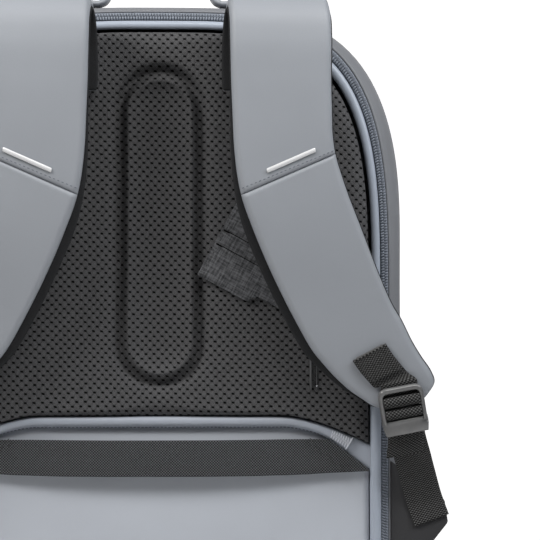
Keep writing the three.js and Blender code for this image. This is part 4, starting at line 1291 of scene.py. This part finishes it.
def handle_piece():
    """Flat at the feet, then narrower and thicker where the cloth is rolled for the hand."""
    place = np.linspace(0, handle_end, 161)
    at, face = handle_line(place)
    rolled = ease(np.minimum(place, handle_end - place), 2.2, 4.2)
    u, h = squircle(28, 0.45, 0.75)
    width = handle_width / 2 * (1 - 0.12 * rolled)
    lift = handle_thickness / 2 * 0.55 * rolled
    height = handle_thickness / 2 + lift
    side = np.array([0.0, 1.0, 0.0])
    points = (at[:, None] + side * (u[None, :] * width[:, None])[..., None]
              + face[:, None] * (h[None, :] * height[:, None] + lift[:, None])[..., None])
    return sweep("top_handle", points)


def handle_threads():
    """A box of stitches on each foot: a row along both edges and two rows across."""
    proud, paths = 0.05, []
    for u in (-1, 1):
        for start, stop in ((0.3, 2.0), (handle_end - 2.0, handle_end - 0.3)):
            at, face = handle_line(np.linspace(start, stop, 40))
            paths.append(at + face * (handle_thickness / 2 + proud) + np.array([0, u * handle_row_inset, 0]))
    for side in (-1, 1):
        for share in (0.3, 0.72):
            x = side * (handle_span / 2 + handle_foot * share)
            y = np.linspace(-1, 1, 12) * handle_row_inset + handle_y
            paths.append(points_of(x, y, handle_level + handle_thickness + proud))
    rows = [stitches("row", path, 2.6, 1.7, 0.25, (0, 0, 1)) for path in paths]
    return join("handle_thread", *rows)


handle = settle(handle_piece(), strap_cloth, "coated_cloth", "carry_handle")
settle(handle_threads(), shade_thread, "coated_cloth")

# %% [markdown]
# ## Shoulder straps
# One table drives a whole strap: its centre line, its width, the slope of its cross line and how thick
# the padding is. The cover's face is a soft pad that rolls down at its edges and into the cross seam,
# and the darker lining below it shows along the inner edge.

# %% The strap's table and its frame
strap_width, strap_standoff = 67.0, 39.0
cover_thickness, cover_crown = 7.0, 0.6
lining_thickness, lining_show, lining_edge = 3.4, 5.0, 0.9
# Columns: across as a share of half width, up as a share of height, out as a share of the standoff,
# width as a share, slope in degrees, padding as a share, lining shown as a share.
strap_rows = np.array([
    (0.425, 0.869, 0.0, 0.84, 0, 0.8, 0), (0.431, 0.904, 0.0, 0.88, 0, 0.85, 0),
    (0.443, 0.943, 0.07, 0.93, 0, 0.9, 0), (0.458, 0.977, 0.33, 0.97, 0, 0.95, 0),
    (0.47, 0.987, 0.64, 0.99, 0, 1, 0), (0.478, 0.971, 0.9, 1.0, 0, 1, 0),
    (0.481, 0.938, 1.0, 1.0, 0.5, 1, 0), (0.482, 0.886, 0.99, 0.99, 1, 1, 0),
    (0.487, 0.834, 0.955, 0.985, 4, 1, 0.1), (0.493, 0.787, 0.92, 0.99, 12, 1, 0.3),
    (0.511, 0.745, 0.88, 1.018, 23.6, 1, 0.6), (0.557, 0.695, 0.82, 1.006, 23.5, 1, 1),
    (0.622, 0.638, 0.71, 0.994, 24.5, 1, 1), (0.699, 0.576, 0.57, 0.955, 26, 1, 1),
    (0.77, 0.526, 0.465, 0.92, 29.5, 0.97, 0.9), (0.811, 0.505, 0.43, 0.894, 29.6, 0.92, 0.7),
    (0.859, 0.479, 0.38, 0.84, 25.8, 0.85, 0.5), (0.905, 0.459, 0.34, 0.793, 24, 0.75, 0.3),
    (0.95, 0.4426, 0.31, 0.742, 21.7, 0.65, 0.1), (0.9785, 0.4286, 0.29, 0.657, 19.5, 0.55, 0),
    (0.981, 0.4157, 0.275, 0.445, 15, 0.45, 0),
])
seam_row, tip_row = 10, len(strap_rows) - 1
root_out = gap + strap_rows[1, 5] * (cover_thickness + cover_crown) + gap / 2
strap_line = points_of(strap_rows[:, 0] * half_width,
                       panel_front - lerp(root_out, strap_standoff, strap_rows[:, 2]),
                       strap_rows[:, 1] * bag_height)


def strap_frame(rows):
    """Centre, directions along, across and out of the face, half width, padding and lining shown."""
    rows = np.atleast_1d(np.asarray(rows, float))
    at = smooth_line(strap_line, rows)
    along = unit(smooth_line(strap_line, rows + 0.2) - smooth_line(strap_line, rows - 0.2))
    value = smooth_rows(strap_rows, rows)
    slope = np.radians(value[:, 4])
    side = points_of(np.cos(slope), 0.0, np.sin(slope))
    face = unit(np.cross(along, side))
    return {"at": at, "along": along, "side": side, "face": face, "half": strap_width * value[:, 3] / 2,
            "pad": value[:, 5], "show": np.clip(value[:, 6], 0, 1)}


def on_strap(frame, u, h):
    """Points at u across and h out of the strap's middle surface, for every row of a frame."""
    u, h = np.broadcast_arrays(u, h)
    at, side, face = (frame[key][:, None] for key in ("at", "side", "face"))
    return at + side * u[..., None] + face * h[..., None]


fine_rows = np.linspace(0, tip_row, 2001)
fine_run = running(smooth_line(strap_line, fine_rows))
seam_run = float(np.interp(seam_row, fine_rows, fine_run))


def row_at(run):
    """Row of the table at a distance along the strap from its root."""
    return np.interp(run, fine_run, fine_rows)


print(f"strap {fine_run[-1]:.0f} mm along its middle, cross seam at {seam_run:.0f} mm")


# %% Cover of the strap
cover_edge, cover_wall, cover_end = 4.4, 0.3, 7.0
seam_roll, end_roll = 2.8, 6.0


def cover_top(frame, run, u):
    """Height of the padded face over the lining: level with a slight crown, rolled down into the cross
    seam and at both ends, with a shallow swell of the foam and small puckers beside the seam."""
    half, pad, run = frame["half"][:, None], frame["pad"][:, None], run[:, None]
    full = pad * (cover_thickness + cover_crown * (1 - (u / half) ** 2))

    def roll(distance, reach, low):
        left = 1 - np.clip(distance / reach, 0, 1)
        return low + (1 - low) * np.sqrt(1 - left * left)

    seam = np.abs(run - seam_run)
    level = roll(seam, seam_roll, 0.66) * roll(fine_run[-1] - run, end_roll, 0.45) * roll(run, end_roll, 0.4)
    inside = np.clip((half - np.abs(u)) / 9, 0, 1) * np.clip(seam / 5, 0, 1)
    swell = 0.2 * np.sin(run / 17 + u / 23) * np.sin(u / 13 + 0.9)
    pucker = 0.22 * np.exp(-seam / 5) * np.sin(u / 1.7)
    return gap / 2 + full * level + (swell + pucker) * inside


def cover_piece(name, start, stop):
    """Part of the cover between two running lengths: upright edges, round shoulders, a padded face."""
    ends = cover_end * np.linspace(0, 1, 9)[:-1] ** 1.5
    middle = np.linspace(start + cover_end, stop - cover_end, int((stop - start) / 2.4))
    run = np.concatenate([start + ends, middle, stop - ends[::-1]])
    frame = strap_frame(row_at(run))
    half = frame["half"][:, None]
    turn = np.linspace(0, math.pi / 2, 8)
    inset = np.concatenate([[0], cover_edge * (1 - np.cos(turn))])
    rise = np.concatenate([[0], cover_wall + (1 - cover_wall) * np.sin(turn)])
    level = np.linspace(-1, 1, 27)[1:-1] * (half - cover_edge)
    u = np.concatenate([-half + inset, level, half - inset[::-1]], axis=1)
    share = np.concatenate([rise, np.ones(level.shape[1]), rise[::-1]])
    h = gap / 2 + (cover_top(frame, run, u) - gap / 2) * share
    under = np.linspace(1, -1, 12)[1:-1] * half
    u, h = np.concatenate([u, under], axis=1), np.concatenate([h, np.full_like(under, gap / 2)], axis=1)
    return sweep(name, on_strap(frame, u, h), points_of(u, run[:, None]))


def lining_piece():
    """Flat lining under the cover, wider than it by an edge and, on the inner side, by what shows."""
    run = np.linspace(0, fine_run[-1], 230)
    frame = strap_frame(row_at(run))
    tuck = 0.8 * (ease(run, 4, 0) + ease(fine_run[-1] - run, 4, 0))[:, None]
    inner = -frame["half"][:, None] - lining_edge - lining_show * frame["show"][:, None] + tuck
    outer = frame["half"][:, None] + lining_edge - tuck
    turn = np.linspace(-math.pi / 2, math.pi / 2, 9)
    roll = lining_thickness / 2
    left = inner + roll * (1 - np.cos(turn))
    right = outer - roll * (1 - np.cos(turn[::-1]))
    across = lerp(inner + roll, outer - roll, np.linspace(0, 1, 11)[None, 1:-1])
    u = np.concatenate([left, across, right, across[:, ::-1]], axis=1)
    h = -gap / 2 - roll + roll * np.concatenate([np.sin(turn), np.ones(9), np.sin(turn[::-1]), -np.ones(9)])
    return sweep("lining", on_strap(frame, u, h))


def mirrored(piece, name):
    """The same piece for the other shoulder: mirrored in X, with its faces turned back."""
    mesh = piece.data.copy()
    mesh.name = name
    points = np.empty(3 * len(mesh.vertices))
    mesh.vertices.foreach_get("co", points)
    mesh.vertices.foreach_set("co", (points.reshape(-1, 3) * [-1, 1, 1]).ravel())
    mesh.flip_normals()
    other = bpy.data.objects.new(name, mesh)
    scene.collection.objects.link(other)
    return other


def both_sides(piece, finish, slot, node=None):
    """Settles a piece of the right shoulder and its mirror image on the left."""
    other = mirrored(piece, piece.name + "_left")
    piece.name += "_right"
    for copy, label in ((piece, "right"), (other, "left")):
        settle(copy, finish, slot, *([f"{node}_{label}"] if node else []))
    return piece, other


def strap_threads():
    """A row of stitches above the cross seam, from edge to edge."""
    run = np.array([seam_run - 3.2])
    frame = strap_frame(row_at(run))
    u = np.linspace(-1, 1, 40)[None] * (frame["half"][0] - 2.0)
    path = on_strap(frame, u, cover_top(frame, run, u) + 0.02)[0]
    return stitches("seam_stitches", path, 3.0, 1.5, 0.28, tuple(frame["face"][0]))


upper = cover_piece("upper_cover", 0.0, seam_run - gap / 2)
lower = cover_piece("lower_cover", seam_run + gap / 2, fine_run[-1])
both_sides(upper, strap_cloth, "coated_cloth", "strap_cover_upper")
both_sides(lower, strap_cloth, "coated_cloth", "strap_cover_lower")
both_sides(lining_piece(), lining_cloth, "lining_cloth", "strap_lining")
both_sides(strap_threads(), shade_thread, "coated_cloth")


# %% Reflective tab
tab_length, tab_height, tab_thickness, tab_corner = 35.0, 3.1, 0.8, 0.7
tab_rise, tab_shift = 8.0, 3.4


def tab_piece():
    """Rounded bar of film bent over the cover, parallel to the cross seam."""
    run = np.array([seam_run - tab_rise])
    frame = strap_frame(row_at(run))
    side = strap_frame(seam_row)["side"][0]
    u = tab_length / 2 * np.sin(np.linspace(-1, 1, 61) * math.pi / 2)
    end = np.clip((tab_length / 2 - np.abs(u)) / tab_corner, 0, 1)
    half = tab_height / 2 - tab_corner * (1 - np.sqrt(1 - (1 - end) ** 2))
    place = u + tab_shift
    crown = gap / 2 + cover_thickness + cover_crown * (1 - (place / frame["half"][0]) ** 2) + 0.25
    square = np.array([(-1, 0), (-1, 0.6), (-0.86, 1), (0, 1.1), (0.86, 1), (1, 0.6), (1, 0)])
    centre = frame["at"][0] + side * place[:, None]
    points = (centre[:, None] + frame["along"][0] * (half[:, None] * square[None, :, 0])[..., None]
              + frame["face"][0] * (crown[:, None] + tab_thickness * square[None, :, 1])[..., None])
    return sweep("tab", points)


both_sides(tab_piece(), reflective_film, "reflective_film", "reflective_tab")

# %% [markdown]
# ## Ladder buckle
# A ladder buckle grips webbing between two bars. Its frame is moulded in one: a top bar with round
# corners, two side rails that run down to a curved thumb lip, and two bars between the rails.

# %% The buckle's frame of directions
web_width, web_thickness = 25.0, 1.5
buckle_rail, buckle_depth, buckle_top_bar = 2.8, 4.2, 3.8
bar_radius, first_bar, second_bar = 1.6, 8.2, 16.6
lip_start, lip_length, lip_thickness, lip_lean = 21.8, 10.4, 2.4, math.radians(16)
free_end, free_hang = 46.5, 4.0
buckle_slope, buckle_tilt = math.radians(10.6), math.radians(13)
buckle_row = 18.25
buckle_across = np.array([math.cos(buckle_slope), 0, math.sin(buckle_slope)])
buckle_down = np.array([math.sin(buckle_slope) * math.cos(buckle_tilt), math.sin(buckle_tilt),
                        -math.cos(buckle_slope) * math.cos(buckle_tilt)])
buckle_out = np.cross(buckle_down, buckle_across)
at_buckle = strap_frame(buckle_row)
slack = 2 * (web_thickness + gap) + gap
buckle_height = gap / 2 + (cover_thickness + cover_crown) * at_buckle["pad"][0] + slack + buckle_depth / 2
buckle_at = at_buckle["at"][0] + at_buckle["face"][0] * buckle_height
print("top bar of the buckle at", np.round(buckle_at, 1))


def in_buckle(across, down, out):
    """Points from the buckle's own directions to the bag's."""
    across, down, out = np.broadcast_arrays(across, down, out)
    return (buckle_at + buckle_across * across[..., None] + buckle_down * down[..., None]
            + buckle_out * out[..., None])


# %% Buckle from swept bars and a curved lip
# The rails stand this far off the webbing, turn into the top bar over this reach and rise by this
# much to meet the lip. The lip is narrower than the frame by these amounts, at its face and behind.
rail_gap, round_reach, lip_rise = 0.5 * gap, 4.6, 1.56
face_inset, face_taper, wall_taper = 1.9, 2.1, 1.6
# Sections of a rail, from the opening outward, and of the top bar: share of width, share of depth.
rail_section = np.array([
    (-0.7, -0.42), (-0.52, 0.3), (-0.46, 0.46), (-0.36, 0.5), (-0.12, 0.5), (0.02, 0.44),
    (0.26, 0.2), (0.44, -0.1), (0.5, -0.3), (0.46, -0.46), (0.3, -0.5), (-0.4, -0.5),
])
bar_section = np.array([
    (-0.5, -0.3), (-0.5, 0.2), (-0.44, 0.4), (-0.3, 0.48), (-0.05, 0.5), (0.2, 0.46),
    (0.38, 0.3), (0.48, 0.06), (0.5, -0.2), (0.44, -0.42), (0.25, -0.5), (-0.35, -0.5),
])


def buckle_frame_piece():
    """U of the top bar and both rails, swept round its corners. A rail has a narrow flat edge beside
    the opening, an inner wall that leans in toward the back and an outer one that slopes away, and it
    grows taller toward the lip."""
    middle = web_width / 2 + rail_gap + buckle_rail / 2
    foot_down = lip_start + 1.0
    turn = np.linspace(0, math.pi / 2, 9)
    rail = np.linspace(foot_down, round_reach, 16)[:-1]
    corner = points_of(middle - round_reach * (1 - np.cos(turn)), round_reach * (1 - np.sin(turn)))
    half = np.vstack([points_of(middle, rail), corner])
    level = (middle - round_reach) * np.linspace(0.97, -0.97, 11)
    path = np.vstack([half, points_of(level, 0.0), half[::-1] * [-1, 1]])
    along = unit(np.gradient(path, axis=0))
    normal = points_of(along[:, 1], -along[:, 0])
    normal *= np.sign(np.sum(normal * (path - (0, lip_start / 2)), axis=1, keepdims=True))
    top = ease(path[:, 1], 4.0, 0.8)[:, None]
    section = lerp(rail_section[None], bar_section[None], top[..., None])
    wide = lerp(buckle_rail, buckle_top_bar, top)
    deep = buckle_depth * lerp(1.0, 0.94, top)
    rise = lip_rise * ease(path[:, 1], 8.0, foot_down)[:, None] * (section[..., 1] > 0)
    flat = path[:, None] + normal[:, None] * (wide * section[..., 0])[..., None]
    return sweep("frame", in_buckle(flat[..., 0], flat[..., 1], deep * section[..., 1] + rise))


def buckle_bar(down):
    """Bar across the opening, let a little way into both rails."""
    across = np.linspace(-1, 1, 9) * (web_width / 2 + 2 * gap + buckle_rail * 0.4)
    c, s = squircle(16, 0.85, 0.85)
    return sweep("bar", in_buckle(across[:, None], down + bar_radius * c, bar_radius * s))


def buckle_lip():
    """Thumb lip: crowned across, leaning out and bending further near its free edge. It narrows
    downward, and its side walls slope back."""
    outer = web_width / 2 + 2 * gap + buckle_rail
    run = np.concatenate([[-0.9, -0.7], np.linspace(-0.4, lip_length, 40)])
    share = np.clip(run / lip_length, 0, 1)[:, None]
    down = (lip_start + run * math.cos(lip_lean) - 0.012 * run**2)[:, None]
    front = (buckle_depth / 2 - 0.4 + lip_rise * (1 - share)
             + (run * math.sin(lip_lean))[:, None] * 0.75 + 2.2 * share**2.2)
    face = outer - face_inset - face_taper * share**1.3
    wall = outer - wall_taper * share**1.5
    back = lerp(-buckle_depth / 2, front - lip_thickness, ease(share, 0.0, 0.45))
    u = np.linspace(-1, 1, 23)
    crown = front - 1.1 * u**2 - 0.5 * np.abs(u) ** 7
    ends = ease((lip_length - run)[:, None], -0.3, 1.0)
    wall_turn = np.array([0.35, 0.7, 0.95])
    side_u = lerp(face, wall, wall_turn)
    side_h = lerp(back, lerp(crown[:, -1:], back, wall_turn**1.2), ends)
    across = np.concatenate([face * u, side_u, face * u[::-1] * 0.97, -side_u[:, ::-1]], axis=1)
    under = np.broadcast_to(back, (len(run), len(u)))
    out = np.concatenate([lerp(back, crown, ends), side_h, under, side_h[:, ::-1]], axis=1)
    return sweep("lip", in_buckle(across, down, out))


buckle = join("ladder_lock", buckle_frame_piece(), buckle_bar(first_bar), buckle_bar(second_bar),
              buckle_lip())
both_sides(buckle, buckle_plastic, "buckle_plastic", "ladder_buckle")

# %% [markdown]
# ## Webbing
# The upper webbing is sewn flat on the strap, passes behind the top bar, rolls round the first bar and
# comes back. The adjusting webbing climbs from a cloth wing behind the buckle, rolls over the second
# bar and hangs down in front to a hemmed end.

# %% Webbing sewn to the strap
# How far the webbing stands off a bar beyond the gap, and how much it bunches there.
web_ease, web_bulk = 0.1, 0.35
wrap_radius = bar_radius + gap + web_ease + (web_thickness + web_bulk) / 2
sewn_rows = np.array([15.5, 16, 16.5, 17, 17.5])


def wrap_round(bar, turns):
    """Stations round a bar, by the angle from its upper side in degrees."""
    turns = np.radians(np.asarray(turns, float))
    return in_buckle(0.0, bar - wrap_radius * np.cos(turns), wrap_radius * np.sin(turns))


def web_height(rows):
    """Frame of the strap and the middle of the webbing that lies on its cover, at rows of the table."""
    frame = strap_frame(rows)
    h = gap / 2 + (cover_thickness + cover_crown) * frame["pad"] + gap + web_thickness / 2
    return frame, frame["at"] + frame["face"] * h[:, None]


def strap_web():
    """From the sewn stretch behind the top bar, round the first bar and back up behind itself."""
    frame, sewn = web_height(sewn_rows)
    under = -(buckle_depth + web_thickness) / 2 - gap
    below = under - web_thickness - gap
    route = np.vstack([
        in_buckle(0, np.array([-buckle_top_bar, 0, first_bar * 0.36]),
                  np.array([under, under, under * 0.9])),
        wrap_round(first_bar, [-15, 30, 75, 120, 165, 210, 250]),
        in_buckle(0, np.array([first_bar * 0.5, first_bar * 0.1]), np.array([below * 0.96, below])),
    ])
    sides = np.vstack([frame["side"], np.broadcast_to(buckle_across, route.shape)])
    bulk = np.concatenate([np.zeros(len(sewn) + 3), np.full(7, web_bulk), np.zeros(2)])
    return ribbon("sewn_webbing", np.vstack([sewn, route]), sides, web_width, web_thickness, bulk=bulk)


def folded_web():
    """Folded end of the webbing: a second layer on the sewn stretch, round at its upper edge."""
    rows = np.concatenate([[15.50, 15.54], np.linspace(15.62, 17.0, 8), [17.08]])
    frame, at = web_height(rows)
    lift = (web_thickness / 2 + 0.5) * np.concatenate([[0.7], np.ones(9), [0.75]])
    bulk = np.concatenate([[0.8, 1.1, 0.0], np.zeros(8)])
    return ribbon("webbing_fold", at + frame["face"] * lift[:, None], frame["side"], web_width, 1.0,
                  ends=0.5, bulk=bulk)


def folded_edge():
    """Rounded edge where the webbing turns back under itself."""
    frame, at = web_height(np.array([15.52]))
    ends = [at + frame["face"] * 0.9 + frame["side"] * u * (web_width / 2 - 0.6) for u in (-1, 1)]
    return capsules("webbing_turn", ends[0], ends[1], 1.15, 0.9, tuple(frame["face"][0]))


def sewn_threads():
    """Rows of stitches on the sewn stretch: a box near its edges, a cross between the corners and one
    row below them, past the end of the fold."""
    first, last, below, fold_end = 15.6, 17.05, 17.28, 17.2
    low, high = -web_width / 2 + 2.6, web_width / 2 - 2.6
    corners = np.array([(low, first), (high, first), (high, last), (low, last), (low, first)])
    lines = [corners, corners[[0, 2]], corners[[1, 3]], np.array([(low, below), (high, below)])]
    made = []
    for line in lines:
        dense = np.vstack([lerp(a, b, np.linspace(0, 1, 25)[:, None]) for a, b in zip(line[:-1], line[1:])])
        frame, at = web_height(dense[:, 1])
        proud = np.where(dense[:, 1] > fold_end, web_thickness / 2, web_thickness / 2 + 1.0) + 0.05
        path = at + frame["side"] * dense[:, :1] + frame["face"] * proud[:, None]
        keep = np.concatenate([[True], np.linalg.norm(np.diff(path, axis=0), axis=1) > 1e-6])
        made.append(stitches("row", path[keep], 2.7, 1.8, 0.3, tuple(frame["face"][12])))
    return join("sewn_webbing_thread", *made)


# %% Adjusting webbing and its wing
wing_low, wing_high = node_box("anchor_wing_right")
wing_seam, wing_front, wing_foot = wing_low
wing_reach, wing_top = wing_high[0] - wing_seam, wing_high[2]
wing_corners = np.array([(wing_seam, wing_top), (wing_seam, wing_foot),
                         (wing_seam + wing_reach, lerp(wing_foot, wing_top, 0.54)),
                         (wing_seam + wing_reach * 0.94, lerp(wing_foot, wing_top, 0.71))])
web_slope = math.radians(20)
wing_side = np.array([math.cos(web_slope), 0, math.sin(web_slope)])
wing_up = np.array([-math.sin(web_slope), 0, math.cos(web_slope)])
lip_back = -buckle_depth / 4 - gap - web_thickness / 2
loose = lip_back - 0.4


def hanging(share, out, across=0.0):
    """Points of the loose end, which swings in toward the plumb line as it hangs below the lip."""
    return in_buckle(across - free_hang * share**2, lerp(lip_start, free_end, share), out)


def adjuster_web():
    """From the wing up behind the buckle, over the second bar and down in front of its own rise."""
    low = wing_corners[2]
    end = np.array([(low[0] + wing_seam) / 2 + wing_reach * 0.21,
                    wing_front - 2 * gap - web_thickness / 2, low[1] + web_thickness])
    held = loose - web_thickness - 2 * gap
    on_wing = end + wing_up * 15
    leaving = in_buckle(0.0, lip_start + lip_length * 1.3, held - 1.0)
    line = np.array([end, on_wing, lerp(on_wing, leaving, 0.36) + (0, 1.5, 0), lerp(on_wing, leaving, 0.72),
                     leaving, in_buckle(0.0, lip_start, held)])
    climb = smooth_line(line, np.linspace(0, 5, 11)[:-1])
    down = np.array([lip_start, second_bar + bar_radius * 0.625, second_bar - wrap_radius * 0.9])
    fall = np.array([lip_start - web_thickness * 0.4, lip_start + lip_thickness])
    route = np.vstack([in_buckle(0, down, np.array([held, held + 0.2, held * 0.62])),
                       wrap_round(second_bar, [0, 45, 90, 135, 175]),
                       in_buckle(0, fall, np.array([loose * 0.85, loose])),
                       hanging(np.array([0.5, 1.0]), np.array([loose, loose + gap]))])
    turn = unit(lerp(wing_side, buckle_across, np.linspace(0, 1, 11)[:-1, None]))
    sides = np.vstack([turn, np.broadcast_to(buckle_across, route.shape)])
    bulk = np.concatenate([np.zeros(len(climb) + 3), np.full(5, web_bulk), np.zeros(4)])
    return ribbon("adjusting_webbing", np.vstack([climb, route]), sides, web_width, web_thickness, bulk=bulk)


def hem_fold():
    """Folded hem on the back of the free end."""
    share, thickness = np.array([0.42, 0.6, 0.8, 0.99]), 1.1
    stations = hanging(share, loose + gap * share**2 - (web_thickness + thickness) / 2)
    sides = np.broadcast_to(buckle_across, stations.shape)
    return ribbon("webbing_hem", stations, sides, web_width * 0.99, thickness)


def hem_threads():
    """Two rows of stitches across the hem's upper edge."""
    across = np.linspace(-1, 1, 12) * (web_width / 2 - 1.5)
    rows = [stitches("row", hanging(share, loose + web_thickness / 2 + 0.08, across), 2.4, 1.6, 0.28,
                     tuple(buckle_out)) for share in (0.5, 0.56)]
    return join("hem_thread", *rows)


def wing_piece():
    """Flat triangle of cloth with its outer point cut off where the webbing is sewn on."""
    flat = spaced(np.vstack([wing_corners, wing_corners[:1]]), 2.0)[:-1]
    return sweep("wing", outlined(flat, zip_back, wing_front, 0.7))


both_sides(strap_web(), strap_webbing, "strap_webbing", "strap_webbing")
both_sides(folded_web(), strap_webbing, "strap_webbing")
# The rolled fold is the same black webbing; its lighter finish is painted highlight.
both_sides(folded_edge(), webbing_fold_painted_highlight, "strap_webbing")
both_sides(sewn_threads(), black_thread, "strap_webbing")
both_sides(adjuster_web(), strap_webbing, "strap_webbing", "adjuster_webbing")
both_sides(hem_fold(), strap_webbing, "strap_webbing")
both_sides(hem_threads(), black_thread, "strap_webbing")
for wing in both_sides(wing_piece(), wing_cloth, "wing_cloth", "anchor_wing"):
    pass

# %% [markdown]
# ## Floor, backdrop and light
# A product photograph on white has a pale floor and a bright backdrop. A soft light stands high on the
# left, a wider one above the front and a third on the right, and a faint glow comes from all round.

# %% Stage
def stage_plane(name, low, high, colour, roughness, glow=0.0):
    """A thin slab for the studio."""
    ring = [(low[0], low[1]), (high[0], low[1]), (high[0], high[1]), (low[0], high[1])]
    slab = sweep(name, np.array([[(x, y, z) for x, y in ring] for z in (low[2], high[2])], float))
    slab.data.polygons.foreach_set("use_smooth", np.zeros(len(slab.data.polygons), bool))
    finish = Finish(name, colour, roughness, Emission_Color=(*colour, 1), Emission_Strength=glow)
    slab.data.materials.append(finish.material)


stage_plane("studio_floor", (-700, -700, -12), (700, 800, -0.5), (0.78, 0.78, 0.78), 0.8)
stage_plane("studio_backdrop", (-1400, 2600, -1000), (1700, 2615, 1900), (1.0, 1.0, 1.0), 0.9, glow=1.0)


def area_light(name, place, size, power, colour):
    """Rectangle of light, in metres and watts, that faces the upper middle of the bag."""
    data = bpy.data.lights.new(name, "AREA")
    data.shape, data.size, data.size_y = "RECTANGLE", *size
    data.energy, data.color = power, colour
    light = bpy.data.objects.new(name, data)
    scene.collection.objects.link(light)
    light.location = place
    light.rotation_euler = (light_target - light.location).to_track_quat("-Z", "Y").to_euler()


light_target = Vector((0.03, -0.08, 0.36))
area_light("key", (-0.58, -0.5, 0.86), (0.35, 0.35), 6.4, (1.0, 0.985, 0.96))
area_light("front_top", (0.28, -0.6, 0.95), (0.6, 0.35), 4.3, (1.0, 0.99, 0.97))
area_light("right", (0.85, -0.5, 0.85), (0.4, 0.5), 4.6, (0.94, 0.97, 1.0))

world = bpy.data.worlds.new("studio")
world.use_nodes = True
background = world.node_tree.nodes["Background"].inputs
background["Color"].default_value = (1.0, 1.0, 1.0, 1)
background["Strength"].default_value = 0.05
scene.world = world

# %% [markdown]
